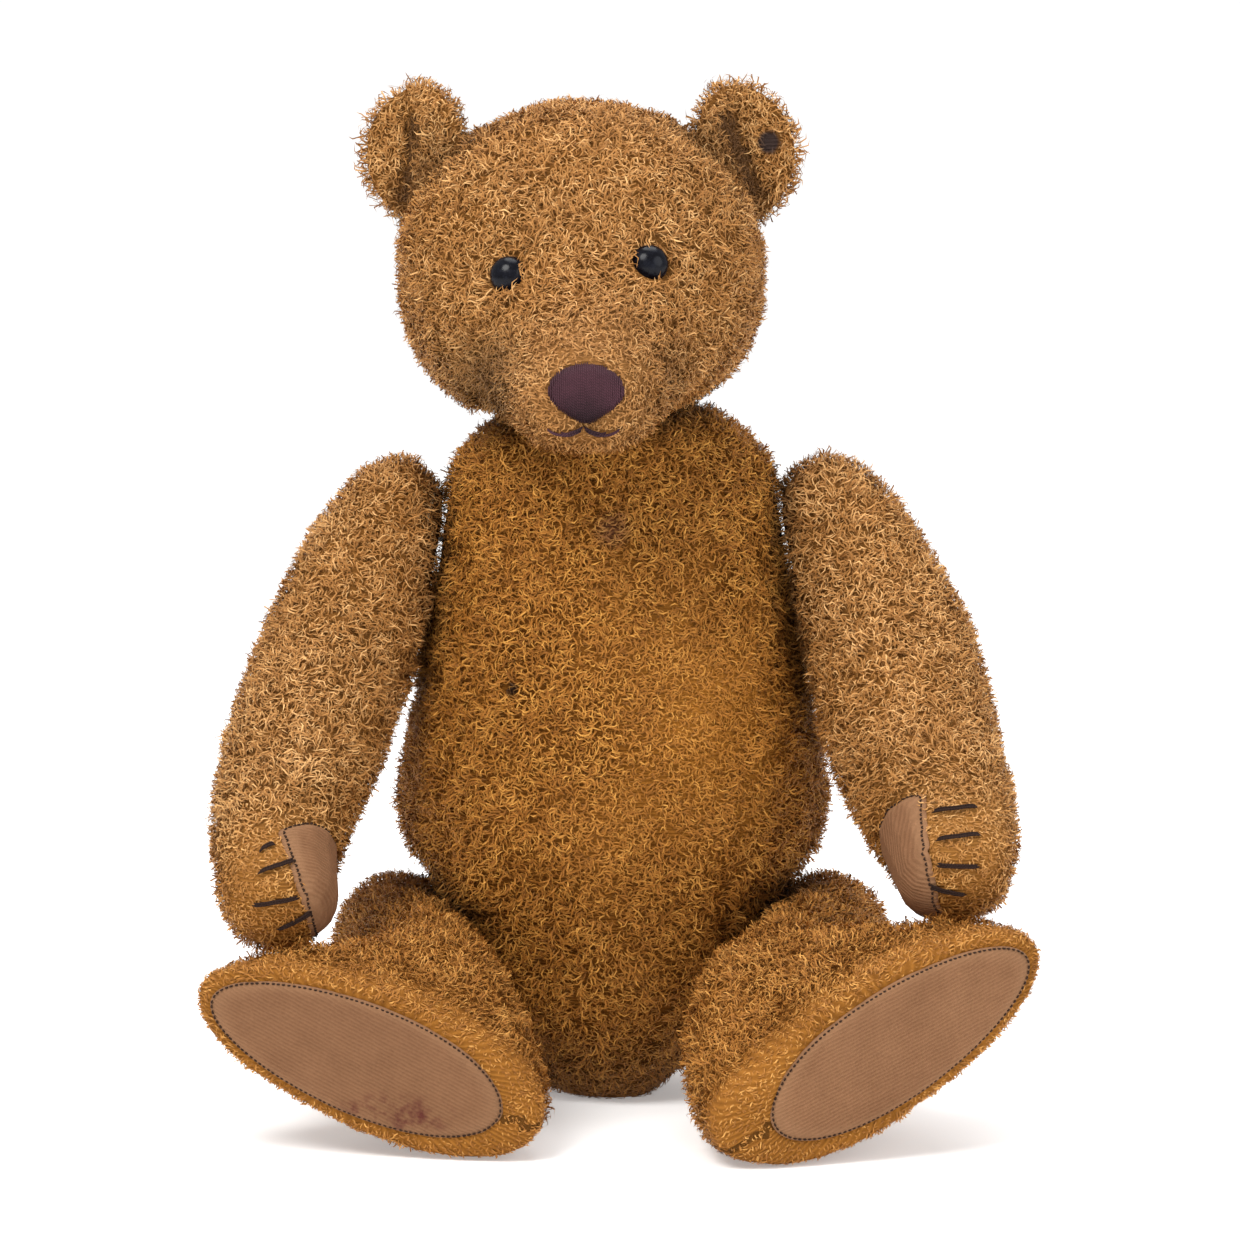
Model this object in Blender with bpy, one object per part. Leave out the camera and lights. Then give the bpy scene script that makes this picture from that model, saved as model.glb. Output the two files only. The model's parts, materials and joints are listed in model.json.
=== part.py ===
"""A worn mohair teddy bear, seated, with five disc joints.

Metres, +Z up. The bear faces -Y and its left side is +X. The origin is on the floor, at the middle
of the flat seat. The tables below are in millimetres and MM turns them into metres.
"""

import math

import bmesh
import bpy
import numpy as np
from mathutils import Vector
from mathutils.bvhtree import BVHTree

MM = 0.001
GAP = 0.3  # running clearance between two pieces

# ---- torso: height, half width, half depth, middle of the depth
TORSO_ROWS = [
    (0.0, 16.0, 20.0, 0.0),
    (8.0, 24.5, 30.5, 0.0),
    (22.0, 36.0, 40.0, 0.0),
    (40.0, 45.0, 46.0, 0.0),
    (60.0, 54.0, 49.5, -0.5),
    (80.0, 58.0, 50.0, 0.0),
    (105.0, 54.0, 47.0, 1.0),
    (130.0, 48.6, 43.5, 3.0),
    (150.0, 46.3, 41.0, 5.0),
    (168.0, 43.5, 37.0, 6.0),
    (177.0, 38.0, 33.5, 5.0),
    (183.0, 30.0, 28.5, 3.0),
    (186.3, 24.0, 24.0, 2.0),
]
TORSO_SEGMENTS = 24

# ---- head, before it is tipped: y, half width, half height, middle of the height above HEAD_CENTRE
HEAD_CENTRE = (-8.7, 0.0, 226.0)
HEAD_TIP_DEGREES = -3.8  # the crown leans to the bear's right
HEAD_ROWS = [
    (41.0, 15.0, 14.5, -3.5),
    (36.5, 26.5, 25.5, -3.2),
    (28.0, 37.5, 36.0, -2.3),
    (17.0, 44.7, 41.3, -1.5),
    (0.0, 48.3, 42.4, -1.0),
    (-20.0, 46.3, 40.5, -2.0),
    (-34.0, 39.5, 33.5, -7.5),
    (-45.0, 29.5, 26.5, -16.5),
    (-57.0, 22.6, 20.8, -24.5),
    (-69.0, 18.8, 17.5, -29.0),
    (-77.0, 14.5, 13.5, -31.0),
]
HEAD_CAPS = (2.0, 4.5)  # length of the rounded back and of the muzzle's end
HEAD_SEGMENTS = 24
JOWL = 0.8  # under 1 makes the lower half of each head section fuller than an ellipse

# ---- ears, in the untipped head: where each is sewn on, x and height above HEAD_CENTRE
EAR_PLACES = {"right": (-40.2, 29.9), "left": (43.9, 24.6)}
EAR_Y = 6.0
EAR_HALF_WIDTH = 19.0
EAR_HALF_HEIGHT = 20.0
EAR_HALF_THICKNESS = 2.9
EAR_FOLD = {"at": 9.0, "over": 6.0, "top": 42.0, "foot": 52.0}  # mm, mm, degrees, degrees
EAR_FACING = 8.0  # degrees that the cup is turned out from straight ahead

# ---- arms: middle of the section, half width along the shoulder's axis, half depth across it
ARM_ROWS = {
    "right": [
        (-59.4, 4.4, 157.0, 14.6, 17.8),
        (-62.8, 2.2, 147.0, 18.0, 19.6),
        (-72.8, -13.0, 123.5, 20.2, 20.0),
        (-80.2, -33.0, 103.5, 20.2, 19.5),
        (-85.3, -50.0, 89.5, 19.0, 18.5),
        (-88.6, -69.0, 74.5, 16.3, 16.5),
        (-86.8, -82.5, 63.5, 15.0, 15.2),
    ],
    "left": [
        (59.2, 4.4, 157.5, 14.8, 17.8),
        (62.8, 2.0, 147.5, 18.6, 19.8),
        (74.2, -15.0, 121.0, 22.5, 20.5),
        (78.9, -35.0, 103.5, 22.0, 20.0),
        (83.3, -52.5, 90.5, 20.6, 19.0),
        (87.8, -69.0, 79.5, 18.2, 17.5),
        (89.2, -82.0, 70.5, 15.3, 15.5),
    ],
}
ARM_CAPS = (14.5, 11.5)
ARM_TOP_SLOPE = math.radians(32)
ARM_SEGMENTS = 18

# ---- legs: share of the way down, share of the step from ankle to sole, half length and half width
LEG_ROWS = [
    (0.00, 0.00, 18.0, 21.5),
    (0.20, 0.00, 18.5, 22.5),
    (0.40, 0.00, 20.0, 23.0),
    (0.58, 0.00, 22.5, 22.5),
    (0.70, 0.10, 28.5, 22.0),
    (0.81, 0.50, 39.5, 20.5),
    (0.91, 0.85, 47.5, 20.2),
    (1.00, 1.00, 49.0, 19.2),
]
LEG_REAR_CAP = 22.0
LEG_SEGMENTS = 22
HIP_TO_MIDDLE = 14.8  # from the hip's flat to the middle of the thigh
HIP_SEAT = {"radius": 30.0, "outer": 36.0, "deep": 30.0}  # the flat that the thigh presses into the torso
HIP_RELIEF = [(31.0, GAP), (36.0, -1.8), (44.0, -6.5), (56.0, -14.0), (56.0, -40.0)]  # radius, depth
NECK_RELIEF = [(34.0, GAP), (40.0, -2.5), (46.0, -5.0), (60.0, -9.0), (60.0, -40.0)]
LEG_TURN = (0.1, 0.7)  # shares between which a section turns from the hip's axis to the toe's
SOLE_EGG = 0.10  # the sole is this share wider at the heel and narrower at the toe
EGG_RINGS = (12, 6)  # the ring where the egg shape sets in, and how many rings it takes
SOLE_ROUND = 4.2  # radius of the sole's edge
SOLES = {"right": (-62.8, -112.0, 25.7), "left": (70.7, -117.0, 30.0)}
ANKLES = {"right": (-43.5, -113.0, 26.0), "left": (42.5, -108.0, 26.5)}
TOES = {"right": (-0.92, 0.17, 0.345), "left": (0.81, 0.31, 0.49)}
SOLES_FACE = {"right": (-0.10, -1.0, -0.08), "left": (0.33, -1.0, -0.08)}
SOLE_PAD = {"half_length": 41.2, "half_width": 15.0, "thickness": 1.5, "to_toe": 3.0, "cut": 4.0}

# ---- felt paw pads, let into the palm side of each arm
PAW_PAD = {"half_length": 19.5, "half_width": 12.5, "thickness": 1.5}
PALM_BAND = (0.0, 40.0)  # from the plane of the pad's seam
PALMS = {"right": (0.95, 0.12, 0.29), "left": (-0.97, 0.15, -0.19)}  # which way each palm faces
PALM_MIDDLES = {"right": (-80.8, -83.0, 63.8), "left": (83.0, -86.0, 73.5)}
PALM_RUNS = {"right": (0.26, 0.19, -0.94), "left": (0.17, -0.12, -0.98)}  # from wrist to tip

# ---- joints: a point on the axis in the plane between the two pieces, the axis into the limb
SHOULDER_TILT = 11.5
HIP_TILT = 10.0
JOINTS = {"neck": {"point": (-5.0, 2.0, 186.6), "tilt": 90.0, "side": 1, "disc": 18.0, "wall": 3.4}}
for word, way in (("left", 1), ("right", -1)):
    JOINTS[word + "_shoulder"] = {
        "point": (46.8 * way, 4.0, 150.0),
        "tilt": SHOULDER_TILT,
        "side": way,
        "disc": 13.0,
        "wall": 4.8,
    }
    JOINTS[word + "_hip"] = {
        "point": (42.5 * way, 2.0, 39.0),
        "tilt": -HIP_TILT,
        "side": way,
        "disc": 15.5,
        "wall": 5.2,
    }
LIMB_WALL = 3.4  # from the limb's flat to its card disc; "wall" above is the torso's
CARD = 2.0
WASHER = {"radius": 6.5, "thickness": 1.0}
BORE = 2.3
PIN_WIRE = 0.8
PIN_LEGS = 0.95  # from the axis to the middle of each leg
PIN_EYE = 2.3
PIN_CURL = 2.6
CORE_RADIUS = 8.6  # the space in the stuffing for washer and pin end
CORE_DEPTH = 9.5
CORE_CHAMFER = 2.0
BORE_START = -4.0  # the cutter starts this far out, past the flat
DISC_SEGMENTS = 16
SEAT_SEGMENTS = 26
WASHER_SEGMENTS = 12

# ---- face
EYES = {"right": (-27.6, 224.7), "left": (9.9, 227.7)}  # x and z, seen from the front
EYE_RADIUS = 4.6
EYE_SUNK = 1.4
EYE_RIM = (0.6, 0.9)  # bevel and height of the button's rim
EYE_DOME = 3.6
EYE_FORWARD = 1.6  # how much more than the cloth around it the button faces forward
EYE_SOCKET = 9.0
EYE_SEGMENTS = 20
LOOP_RADIUS = 1.9
LOOP_WIRE = 0.5
LOOP_SEGMENTS = 14
NOSE_AT = (-6.8, 196.2)
NOSE_HALF = (9.7, 8.2)
NOSE_PROUD = 1.9
NOSE_TAPER = 0.52  # how much of its width it loses toward its foot
NOSE_TOP = 0.86  # its height above NOSE_AT as a share of that below
NOSE_LAYERS = [(8.0, 1.0), (2.6, 1.0), (1.3, 0.92), (0.4, 0.72), (0.1, 0.4)]  # depth, share of the outline
MOUTH_WIRE = 0.6
MOUTH_AT = (-7.5, 185.6)
MOUTH_REACH = (9.2, 0.6)
MOUTH_BOW = 0.6
THREAD_CLEAR = 0.4  # between the cloth and a thread laid on it

# ---- claw stitches: x and z of both ends, seen from the front
CLAW_WIRE = 0.6
CLAWS = {
    "right": [
        (-92.0, 78.0, -86.0, 79.8),
        (-92.5, 72.0, -83.1, 75.0),
        (-93.6, 63.4, -81.6, 65.5),
        (-88.1, 56.4, -79.0, 60.6),
    ],
    "left": [
        (83.7, 87.6, 94.9, 88.4),
        (84.6, 81.3, 95.7, 82.4),
        (84.6, 73.8, 95.7, 73.4),
        (83.0, 67.4, 92.0, 65.6),
    ],
}

MOHAIR = ((0.43, 0.24, 0.08), 0.95, 0.0)
FELT = ((0.42, 0.24, 0.15), 0.92, 0.0)
BUTTON = ((0.012, 0.012, 0.016), 0.18, 0.0)
NOSE_THREAD = ((0.06, 0.025, 0.035), 0.75, 0.0)
CLAW_THREAD = ((0.05, 0.03, 0.022), 0.75, 0.0)
CARDBOARD = ((0.36, 0.26, 0.15), 0.9, 0.0)
STEEL = ((0.32, 0.29, 0.26), 0.45, 1.0)


def clear_scene():
    for old in list(bpy.data.objects):
        bpy.data.objects.remove(old, do_unlink=True)


def unit(vector):
    vector = np.asarray(vector, float)
    return vector / np.linalg.norm(vector)


def square_to(vector, axis):
    """The unit vector nearest to `vector` that is square to the unit `axis`."""
    return unit(np.asarray(vector, float) - np.dot(vector, axis) * axis)


def joint_axis(joint):
    tilt = math.radians(joint["tilt"])
    return np.array([joint["side"] * math.cos(tilt), 0.0, math.sin(tilt)])


def make_empties():
    """One empty on each joint's axis; a moving piece is parented to its joint's empty."""
    for name, joint in JOINTS.items():
        empty = bpy.data.objects.new(name + "_axis", None)
        empty.location = Vector(joint["point"]) * MM
        bpy.context.scene.collection.objects.link(empty)


def give_material(obj, finish):
    colour, roughness, metallic = finish
    material = bpy.data.materials.new(obj.name)
    material.use_nodes = True
    shader = material.node_tree.nodes["Principled BSDF"]
    shader.inputs["Base Color"].default_value = (*colour, 1.0)
    shader.inputs["Roughness"].default_value = roughness
    shader.inputs["Metallic"].default_value = metallic
    obj.data.materials.append(material)


def add_solid(name, points, faces, finish=None, joint=None):
    """An object from points in world millimetres. Without a finish it is a hidden cutter."""
    origin = np.array(JOINTS[joint]["point"]) if joint else np.zeros(3)
    mesh = bpy.data.meshes.new(name)
    mesh.from_pydata([tuple(p) for p in (np.asarray(points) - origin) * MM], [], faces)
    shape = bmesh.new()
    shape.from_mesh(mesh)
    bmesh.ops.recalc_face_normals(shape, faces=shape.faces)
    shape.to_mesh(mesh)
    shape.free()
    obj = bpy.data.objects.new(name, mesh)
    bpy.context.scene.collection.objects.link(obj)
    if joint:
        obj.parent = bpy.data.objects[joint + "_axis"]
    if finish:
        mesh.shade_smooth()
        mesh.set_sharp_from_angle(angle=math.radians(40))
        give_material(obj, finish)
    else:
        obj.hide_render = True
        obj.display_type = "WIRE"
    return obj


def cut(obj, cutter, operation="DIFFERENCE"):
    boolean = obj.modifiers.new(cutter.name, "BOOLEAN")
    boolean.operation = operation
    boolean.solver = "EXACT"
    boolean.object = cutter


def smooth_rows(rows, steps):
    """The rows of a table joined by a smooth curve (Catmull-Rom), with `steps` rows to each gap."""
    rows = np.asarray(rows, float)
    padded = np.vstack([2 * rows[0] - rows[1], rows, 2 * rows[-1] - rows[-2]])
    made = []
    for a, b, c, d in zip(padded, padded[1:], padded[2:], padded[3:]):
        for t in np.arange(steps) / steps:
            square = (2 * a - 5 * b + 4 * c - d) * t**2
            cube = (3 * b - a - 3 * c + d) * t**3
            made.append(0.5 * (2 * b + (c - a) * t + square + cube))
    return np.array(made + [rows[-1]])


def oval(segments, low_power=1.0, egg=0.0):
    """A unit oval: `low_power` under 1 fills out its lower half, `egg` narrows the +u end."""
    turn = np.arange(segments) * 2 * math.pi / segments
    c, s = np.cos(turn), np.sin(turn)
    power = np.where(s < 0, low_power, 1.0)
    u = np.sign(c) * np.abs(c) ** power
    v = np.sign(s) * np.abs(s) ** power
    return np.stack([u, v * (1 - egg * u)], axis=1)


def loft(sections, shape):
    """Rings of points from sections: a middle, and two vectors as long as the half axes."""
    return [
        np.asarray(middle) + np.outer(shape[:, 0], side) + np.outer(shape[:, 1], lift)
        for middle, side, lift in sections
    ]


def rounded_end(section, along, length, start=0.0, steps=4):
    """Sections that round off the end of a loft, and the pole they close on.

    A `start` angle above 0 leaves out the first part of the quarter turn, for a loft that tapers.
    """
    middle, side, lift = section
    made = []
    for turn in np.linspace(start, math.pi / 2, steps + 1)[1:-1]:
        shrink = (math.cos(turn) / math.cos(start)) ** 0.9
        rise = (math.sin(turn) - math.sin(start)) / (1 - math.sin(start))
        made.append((middle + along * length * rise, side * shrink, lift * shrink))
    return made, middle + along * length


def skin(rings, start_pole=None, end_pole=None):
    """Points and faces of a closed body over the rings; an end without a pole is one flat face."""
    count = len(rings[0])
    points = [tuple(p) for ring in rings for p in ring]
    faces = []
    for r in range(len(rings) - 1):
        for i in range(count):
            j = (i + 1) % count
            faces.append((r * count + i, r * count + j, (r + 1) * count + j, (r + 1) * count + i))
    for pole, first in ((start_pole, 0), (end_pole, (len(rings) - 1) * count)):
        ring = list(range(first, first + count))
        if pole is None:
            faces.append(tuple(ring))
        else:
            points.append(tuple(pole))
            faces += [(ring[i], ring[(i + 1) % count], len(points) - 1) for i in range(count)]
    return points, faces


def turned(profile, origin, axis, segments):
    """A body turned about an axis from (radius, distance) pairs; radius 0 makes a pole."""
    side = square_to((0, 1, 0.01), axis)
    lift = np.cross(axis, side)
    shape = oval(segments)
    poles = [np.asarray(origin) + axis * s if r == 0 else None for r, s in (profile[0], profile[-1])]
    body = [row for row in profile if row[0] > 0]
    rings = loft([(np.asarray(origin) + axis * s, side * r, lift * r) for r, s in body], shape)
    return skin(rings, *poles)


def ring_plate(inner, outer, near, far, origin, axis, segments):
    """A flat ring from `near` to `far` along the axis."""
    side = square_to((0, 1, 0.01), axis)
    lift = np.cross(axis, side)
    shape = oval(segments)
    corners = ((inner, near), (outer, near), (outer, far), (inner, far))
    rings = loft([(np.asarray(origin) + axis * s, side * r, lift * r) for r, s in corners], shape)
    points = [tuple(p) for ring in rings for p in ring]
    faces = []
    for r in range(4):
        for i in range(segments):
            j = (i + 1) % segments
            q = (r + 1) % 4
            faces.append((r * segments + i, r * segments + j, q * segments + j, q * segments + i))
    return points, faces


def tube(path, radius, sides=6, closed=False):
    """A round wire along a path, its ring frames carried from point to point without twist."""
    path = np.asarray(path, float)
    ahead = np.roll(path, -1, axis=0) - np.roll(path, 1, axis=0)
    if not closed:
        ahead[0], ahead[-1] = path[1] - path[0], path[-1] - path[-2]
    side = square_to((0.31, 0.17, 0.93), unit(ahead[0]))
    sections = []
    for middle, run in zip(path, ahead):
        side = square_to(side, unit(run))
        sections.append((middle, side * radius, np.cross(unit(run), side) * radius))
    points, faces = skin(loft(sections, oval(sides)))
    if closed:
        faces = faces[:-2]
        last = (len(path) - 1) * sides
        faces += [(last + i, last + (i + 1) % sides, (i + 1) % sides, i) for i in range(sides)]
    return points, faces


def plane_box(joint, offset, outward, size=400.0):
    """A block that fills the space on one side of a joint's plane."""
    axis = joint_axis(joint)
    side = square_to((0, 1, 0), axis)
    lift = np.cross(axis, side)
    near = np.asarray(joint["point"]) + axis * offset
    far = near + axis * size * (1 if outward else -1)
    square = np.array([(1, 1), (-1, 1), (-1, -1), (1, -1)], float)
    return skin(loft([(near, side * size, lift * size), (far, side * size, lift * size)], square))


def relief(joint, steps):
    """What the disc presses flat on a bag: a plane around the axis that falls away past the joint."""
    profile = [(0, GAP)] + steps + [(0, steps[-1][1])]
    return turned(profile, joint["point"], joint_axis(joint), SEAT_SEGMENTS)


# ---- the stuffed bags


def torso_body():
    rows = smooth_rows(TORSO_ROWS, 2)
    sections = [((0, y, z), np.array([w, 0, 0]), np.array([0, d, 0])) for z, w, d, y in rows]
    return skin(loft(sections, oval(TORSO_SEGMENTS)))


def tipped(point):
    """From the untipped head, relative to its centre, to the world."""
    tip = math.radians(HEAD_TIP_DEGREES)
    x, y, z = point
    turned_x = x * math.cos(tip) + z * math.sin(tip)
    turned_z = -x * math.sin(tip) + z * math.cos(tip)
    return np.array([turned_x, y, turned_z]) + HEAD_CENTRE


def head_body(grow=0.0):
    middle = np.asarray(HEAD_CENTRE)
    sections = []
    for y, w, h, z in smooth_rows(HEAD_ROWS, 2):
        side = tipped((w + grow, 0, 0)) - middle
        lift = tipped((0, 0, h + grow)) - middle
        sections.append((tipped((0, y, z)), side, lift))
    back, back_pole = rounded_end(sections[0], np.array([0, 1.0, 0]), HEAD_CAPS[0] + grow)
    front, front_pole = rounded_end(sections[-1], np.array([0, -1.0, 0]), HEAD_CAPS[1] + grow)
    rings = loft(back[::-1] + sections + front, oval(HEAD_SEGMENTS, JOWL))
    return skin(rings, back_pole, front_pole)


def ear_body(side_name):
    """A round mohair cup: a lens of cloth whose inner edge is folded forward, most at its foot."""
    mirror = -1 if side_name == "right" else 1
    x, z = EAR_PLACES[side_name]
    facing = math.radians(EAR_FACING)
    reach = np.linspace(-1, 1, 81) * EAR_HALF_WIDTH
    rim = oval(24)
    sizes = np.array([0.3, 0.55, 0.78, 0.93, 1.0])
    layers = [(s, 1) for s in sizes] + [(s, -1) for s in sizes[-2::-1]]

    def place(u, v, lift):
        """Across, up, and out of the cloth, to the world."""
        height = (v / EAR_HALF_HEIGHT + 1) / 2
        most = math.radians(EAR_FOLD["foot"] + (EAR_FOLD["top"] - EAR_FOLD["foot"]) * height)
        fold = np.clip((EAR_FOLD["at"] - reach) / EAR_FOLD["over"], 0, 1)
        heading = most * fold * fold * (3 - 2 * fold)
        step = reach[1] - reach[0]
        middle = len(reach) // 2
        run = np.cumsum(np.cos(heading)) * step
        rise = np.cumsum(np.sin(heading)) * step
        turn = np.interp(u, reach, heading)
        across = np.interp(u, reach, run - run[middle]) + lift * math.sin(turn)
        forward = np.interp(u, reach, rise[middle] - rise) + lift * math.cos(turn)
        out_x = across * math.cos(facing) + forward * math.sin(facing)
        out_y = across * math.sin(facing) - forward * math.cos(facing)
        return tipped((x + mirror * out_x, EAR_Y + out_y, z + v))

    rings = []
    for size, face in layers:
        swell = EAR_HALF_THICKNESS * (1 - size**4) ** 0.5 * face
        wide, high = EAR_HALF_WIDTH * size, EAR_HALF_HEIGHT * size
        rings.append(np.array([place(u * wide, v * high, swell) for u, v in rim]))
    poles = (place(0, 0, EAR_HALF_THICKNESS), place(0, 0, -EAR_HALF_THICKNESS))
    return skin(rings, *poles)


def arm_body(side_name, grow=0.0):
    axis = joint_axis(JOINTS[side_name + "_shoulder"])
    rows = smooth_rows(ARM_ROWS[side_name], 2)
    middles = rows[:, :3]
    runs = np.gradient(middles, axis=0)
    sections = []
    for (middle, run), (wide, deep) in zip(zip(middles, runs), rows[:, 3:]):
        side = square_to(axis, unit(run))
        sections.append((middle, side * (wide + grow), np.cross(unit(run), side) * (deep + grow)))
    top, top_pole = rounded_end(sections[0], -unit(runs[0]), ARM_CAPS[0] + grow, ARM_TOP_SLOPE)
    paw, paw_pole = rounded_end(sections[-1], unit(runs[-1]), ARM_CAPS[1] + grow)
    return skin(loft(top[::-1] + sections + paw, oval(ARM_SEGMENTS)), top_pole, paw_pole)


def foot_frame(side_name):
    """Toe direction, sole normal and width direction of a foot."""
    toe = unit(TOES[side_name])
    normal = square_to(SOLES_FACE[side_name], toe)
    return toe, normal, np.cross(normal, toe)


def leg_body(side_name):
    """A leg from the flattened thigh to the flat sole, its section turning to the toe's direction."""
    joint = JOINTS[side_name + "_hip"]
    axis = joint_axis(joint)
    toe, normal, width = foot_frame(side_name)
    hip = np.asarray(joint["point"]) + axis * HIP_TO_MIDDLE
    ankle = np.asarray(ANKLES[side_name])
    step = np.asarray(SOLES[side_name]) - ankle
    down = unit(ankle - hip)
    sections = []
    for share, shift, long, wide in smooth_rows(LEG_ROWS, 2):
        blend = np.interp(share, LEG_TURN, (0, 1))
        along = unit(down * (1 - blend) + normal * blend)
        side = square_to(axis * (1 - blend) + toe * blend, along)
        middle = hip + (ankle - hip) * share + step * shift
        sections.append((middle, side * long, np.cross(along, side) * wide))
    rear, rear_pole = rounded_end(sections[0], -down, LEG_REAR_CAP)
    middle, side, lift = sections[-1]
    for turn in (30, 60, 90):
        inset = SOLE_ROUND * (1 - math.cos(math.radians(turn)))
        rise = SOLE_ROUND * math.sin(math.radians(turn))
        shrunk = (unit(side) * (LEG_ROWS[-1][2] - inset), unit(lift) * (LEG_ROWS[-1][3] - inset))
        sections.append((middle + normal * rise, *shrunk))
    rings = []
    for n, section in enumerate(rear[::-1] + sections):
        egg = SOLE_EGG * min(max((n - EGG_RINGS[0]) / EGG_RINGS[1], 0.0), 1.0)
        rings += loft([section], oval(LEG_SEGMENTS, egg=egg))
    return skin(rings, rear_pole, None)


# ---- joints


def pocket(joint, wall, away, name):
    """The bore and the stepped space around disc, washer and pin end, on one side of a joint's plane."""
    axis = joint_axis(joint) * away
    floor = wall + CARD + 2 * GAP
    end = floor + CORE_DEPTH
    profile = [
        (0, BORE_START),
        (BORE, BORE_START),
        (BORE, wall),
        (joint["disc"] + GAP, wall),
        (joint["disc"] + GAP, floor),
        (CORE_RADIUS, floor),
        (CORE_RADIUS, end - CORE_CHAMFER),
        (CORE_RADIUS - CORE_CHAMFER, end),
        (0, end),
    ]
    return add_solid(name, *turned(profile, joint["point"], axis, DISC_SEGMENTS))


def pin_path(joint, torso_end, limb_end):
    """A split pin: from one curled end, up a leg, round the eye and back down to the other curl."""
    axis = joint_axis(joint)
    across = square_to((0, 1, 0), axis)
    half = []
    for turn in np.radians(np.arange(180, -1, -36)):
        out = PIN_LEGS + PIN_CURL * (1 - math.cos(turn))
        half.append((out, -torso_end - PIN_CURL * math.sin(turn)))
    half.append((PIN_LEGS, 0.0))
    start = math.asin(PIN_LEGS / PIN_EYE)
    middle = limb_end + PIN_EYE * math.cos(start)
    for turn in np.linspace(start, math.pi, 6):
        half.append((PIN_EYE * math.sin(turn), middle - PIN_EYE * math.cos(turn)))
    both = half + [(-out, s) for out, s in half[-2::-1]]
    return [np.asarray(joint["point"]) + across * out + axis * s for out, s in both]


def add_joint(name, torso, limb, limb_name):
    """Flattens both bags at the joint's plane, opens their pockets and fills them with the joint's pieces."""
    joint = JOINTS[name]
    axis = joint_axis(joint)
    if limb_name == "leg":
        deep = HIP_SEAT["deep"]
        profile = [(0, -GAP), (HIP_SEAT["radius"], -GAP), (HIP_SEAT["outer"], deep), (0, deep)]
        seat = turned(profile, joint["point"], axis, SEAT_SEGMENTS)
        limb_side = relief(joint, HIP_RELIEF)
    else:
        seat = plane_box(joint, -GAP, outward=True)
        limb_side = plane_box(joint, GAP, outward=False)
        if limb_name == "head":
            limb_side = relief(joint, NECK_RELIEF)
    cut(torso, add_solid(name + "_torso_side", *seat))
    cut(limb, add_solid(name + "_limb_side", *limb_side))
    sides = ((torso, joint["wall"], -1, "body", None), (limb, LIMB_WALL, 1, limb_name, name))
    ends = []
    for bag, wall, away, word, carrier in sides:
        cut(bag, pocket(joint, wall, away, f"{name}_{word}_pocket"))
        place = (joint["point"], axis * away)
        near, far = wall + GAP, wall + GAP + CARD
        card = ring_plate(BORE, joint["disc"], near, far, *place, DISC_SEGMENTS)
        add_solid(f"{name}_{word}_disc", *card, CARDBOARD, carrier)
        near = far + GAP
        far = near + WASHER["thickness"]
        plate = ring_plate(BORE, WASHER["radius"], near, far, *place, WASHER_SEGMENTS)
        add_solid(f"{name}_{word}_washer", *plate, STEEL, carrier)
        ends.append(far + GAP + PIN_WIRE)
    add_solid(name + "_pin", *tube(pin_path(joint, *ends), PIN_WIRE), STEEL)


# ---- felt pads


def pad_prism(middle, out, long, wide, near, far, egg=0.0):
    """An oval prism from `near` to `far` along `out`; `long` and `wide` are its half axes as vectors."""
    sections = [(np.asarray(middle) + out * s, long, wide) for s in (near, far)]
    return skin(loft(sections, oval(28, egg=egg)))


def add_foot_pad(side_name, leg):
    toe, normal, width = foot_frame(side_name)
    face = np.asarray(SOLES[side_name]) + normal * SOLE_ROUND + toe * SOLE_PAD["to_toe"]
    prisms = []
    for grow, far in ((GAP, SOLE_PAD["cut"]), (0.0, 0.0)):
        long = toe * (SOLE_PAD["half_length"] + grow)
        wide = width * (SOLE_PAD["half_width"] + grow)
        prisms.append(pad_prism(face, normal, long, wide, -SOLE_PAD["thickness"] - grow, far, SOLE_EGG))
    cut(leg, add_solid(side_name + "_foot_recess", *prisms[0]))
    add_solid(side_name + "_foot_pad", *prisms[1], FELT, side_name + "_hip")


def add_paw_pad(side_name, arm):
    """A felt oval flush with the palm: the arm's own skin inside a prism, over a shallow recess."""
    joint = side_name + "_shoulder"
    out = unit(PALMS[side_name])
    long = square_to(PALM_RUNS[side_name], out)
    wide = np.cross(out, long)
    middle = PALM_MIDDLES[side_name]
    sizes = []
    for grow in (0.0, GAP):
        half = (long * (PAW_PAD["half_length"] + grow), wide * (PAW_PAD["half_width"] + grow))
        sizes.append(pad_prism(middle, out, *half, PALM_BAND[0] - grow, PALM_BAND[1]))
    thickness = PAW_PAD["thickness"]
    core = add_solid(side_name + "_paw_core", *arm_body(side_name, -thickness))
    inner_core = add_solid(side_name + "_paw_inner_core", *arm_body(side_name, -thickness - GAP))
    recess = add_solid(side_name + "_paw_recess", *sizes[1])
    cut(recess, inner_core)
    cut(arm, recess)
    pad = add_solid(side_name + "_paw_pad", *sizes[0], FELT, joint)
    cut(pad, add_solid(side_name + "_paw_skin", *arm_body(side_name)), "INTERSECT")
    cut(pad, core)


# ---- face and claws


def surface_of(body):
    points, faces = body
    return BVHTree.FromPolygons([Vector(p) for p in points], faces)


def front_point(surface, x, z):
    """Where a line from the front at (x, z) meets the surface, and the outward normal there."""
    hit, normal, _, _ = surface.ray_cast(Vector((x, -300.0, z)), Vector((0, 1, 0)))
    normal = np.array(normal)
    return np.array(hit), normal if normal[1] < 0 else -normal


def thread_path(surface, ends, radius, bow=0.0, count=7):
    """A thread laid on the surface between two points given from the front, bowed down by `bow`."""
    x0, z0, x1, z1 = ends
    made = []
    for t in np.linspace(0, 1, count):
        at, normal = front_point(surface, x0 + (x1 - x0) * t, z0 + (z1 - z0) * t - bow * 4 * t * (1 - t))
        made.append(at + normal * (radius + THREAD_CLEAR))
    return made


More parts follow.
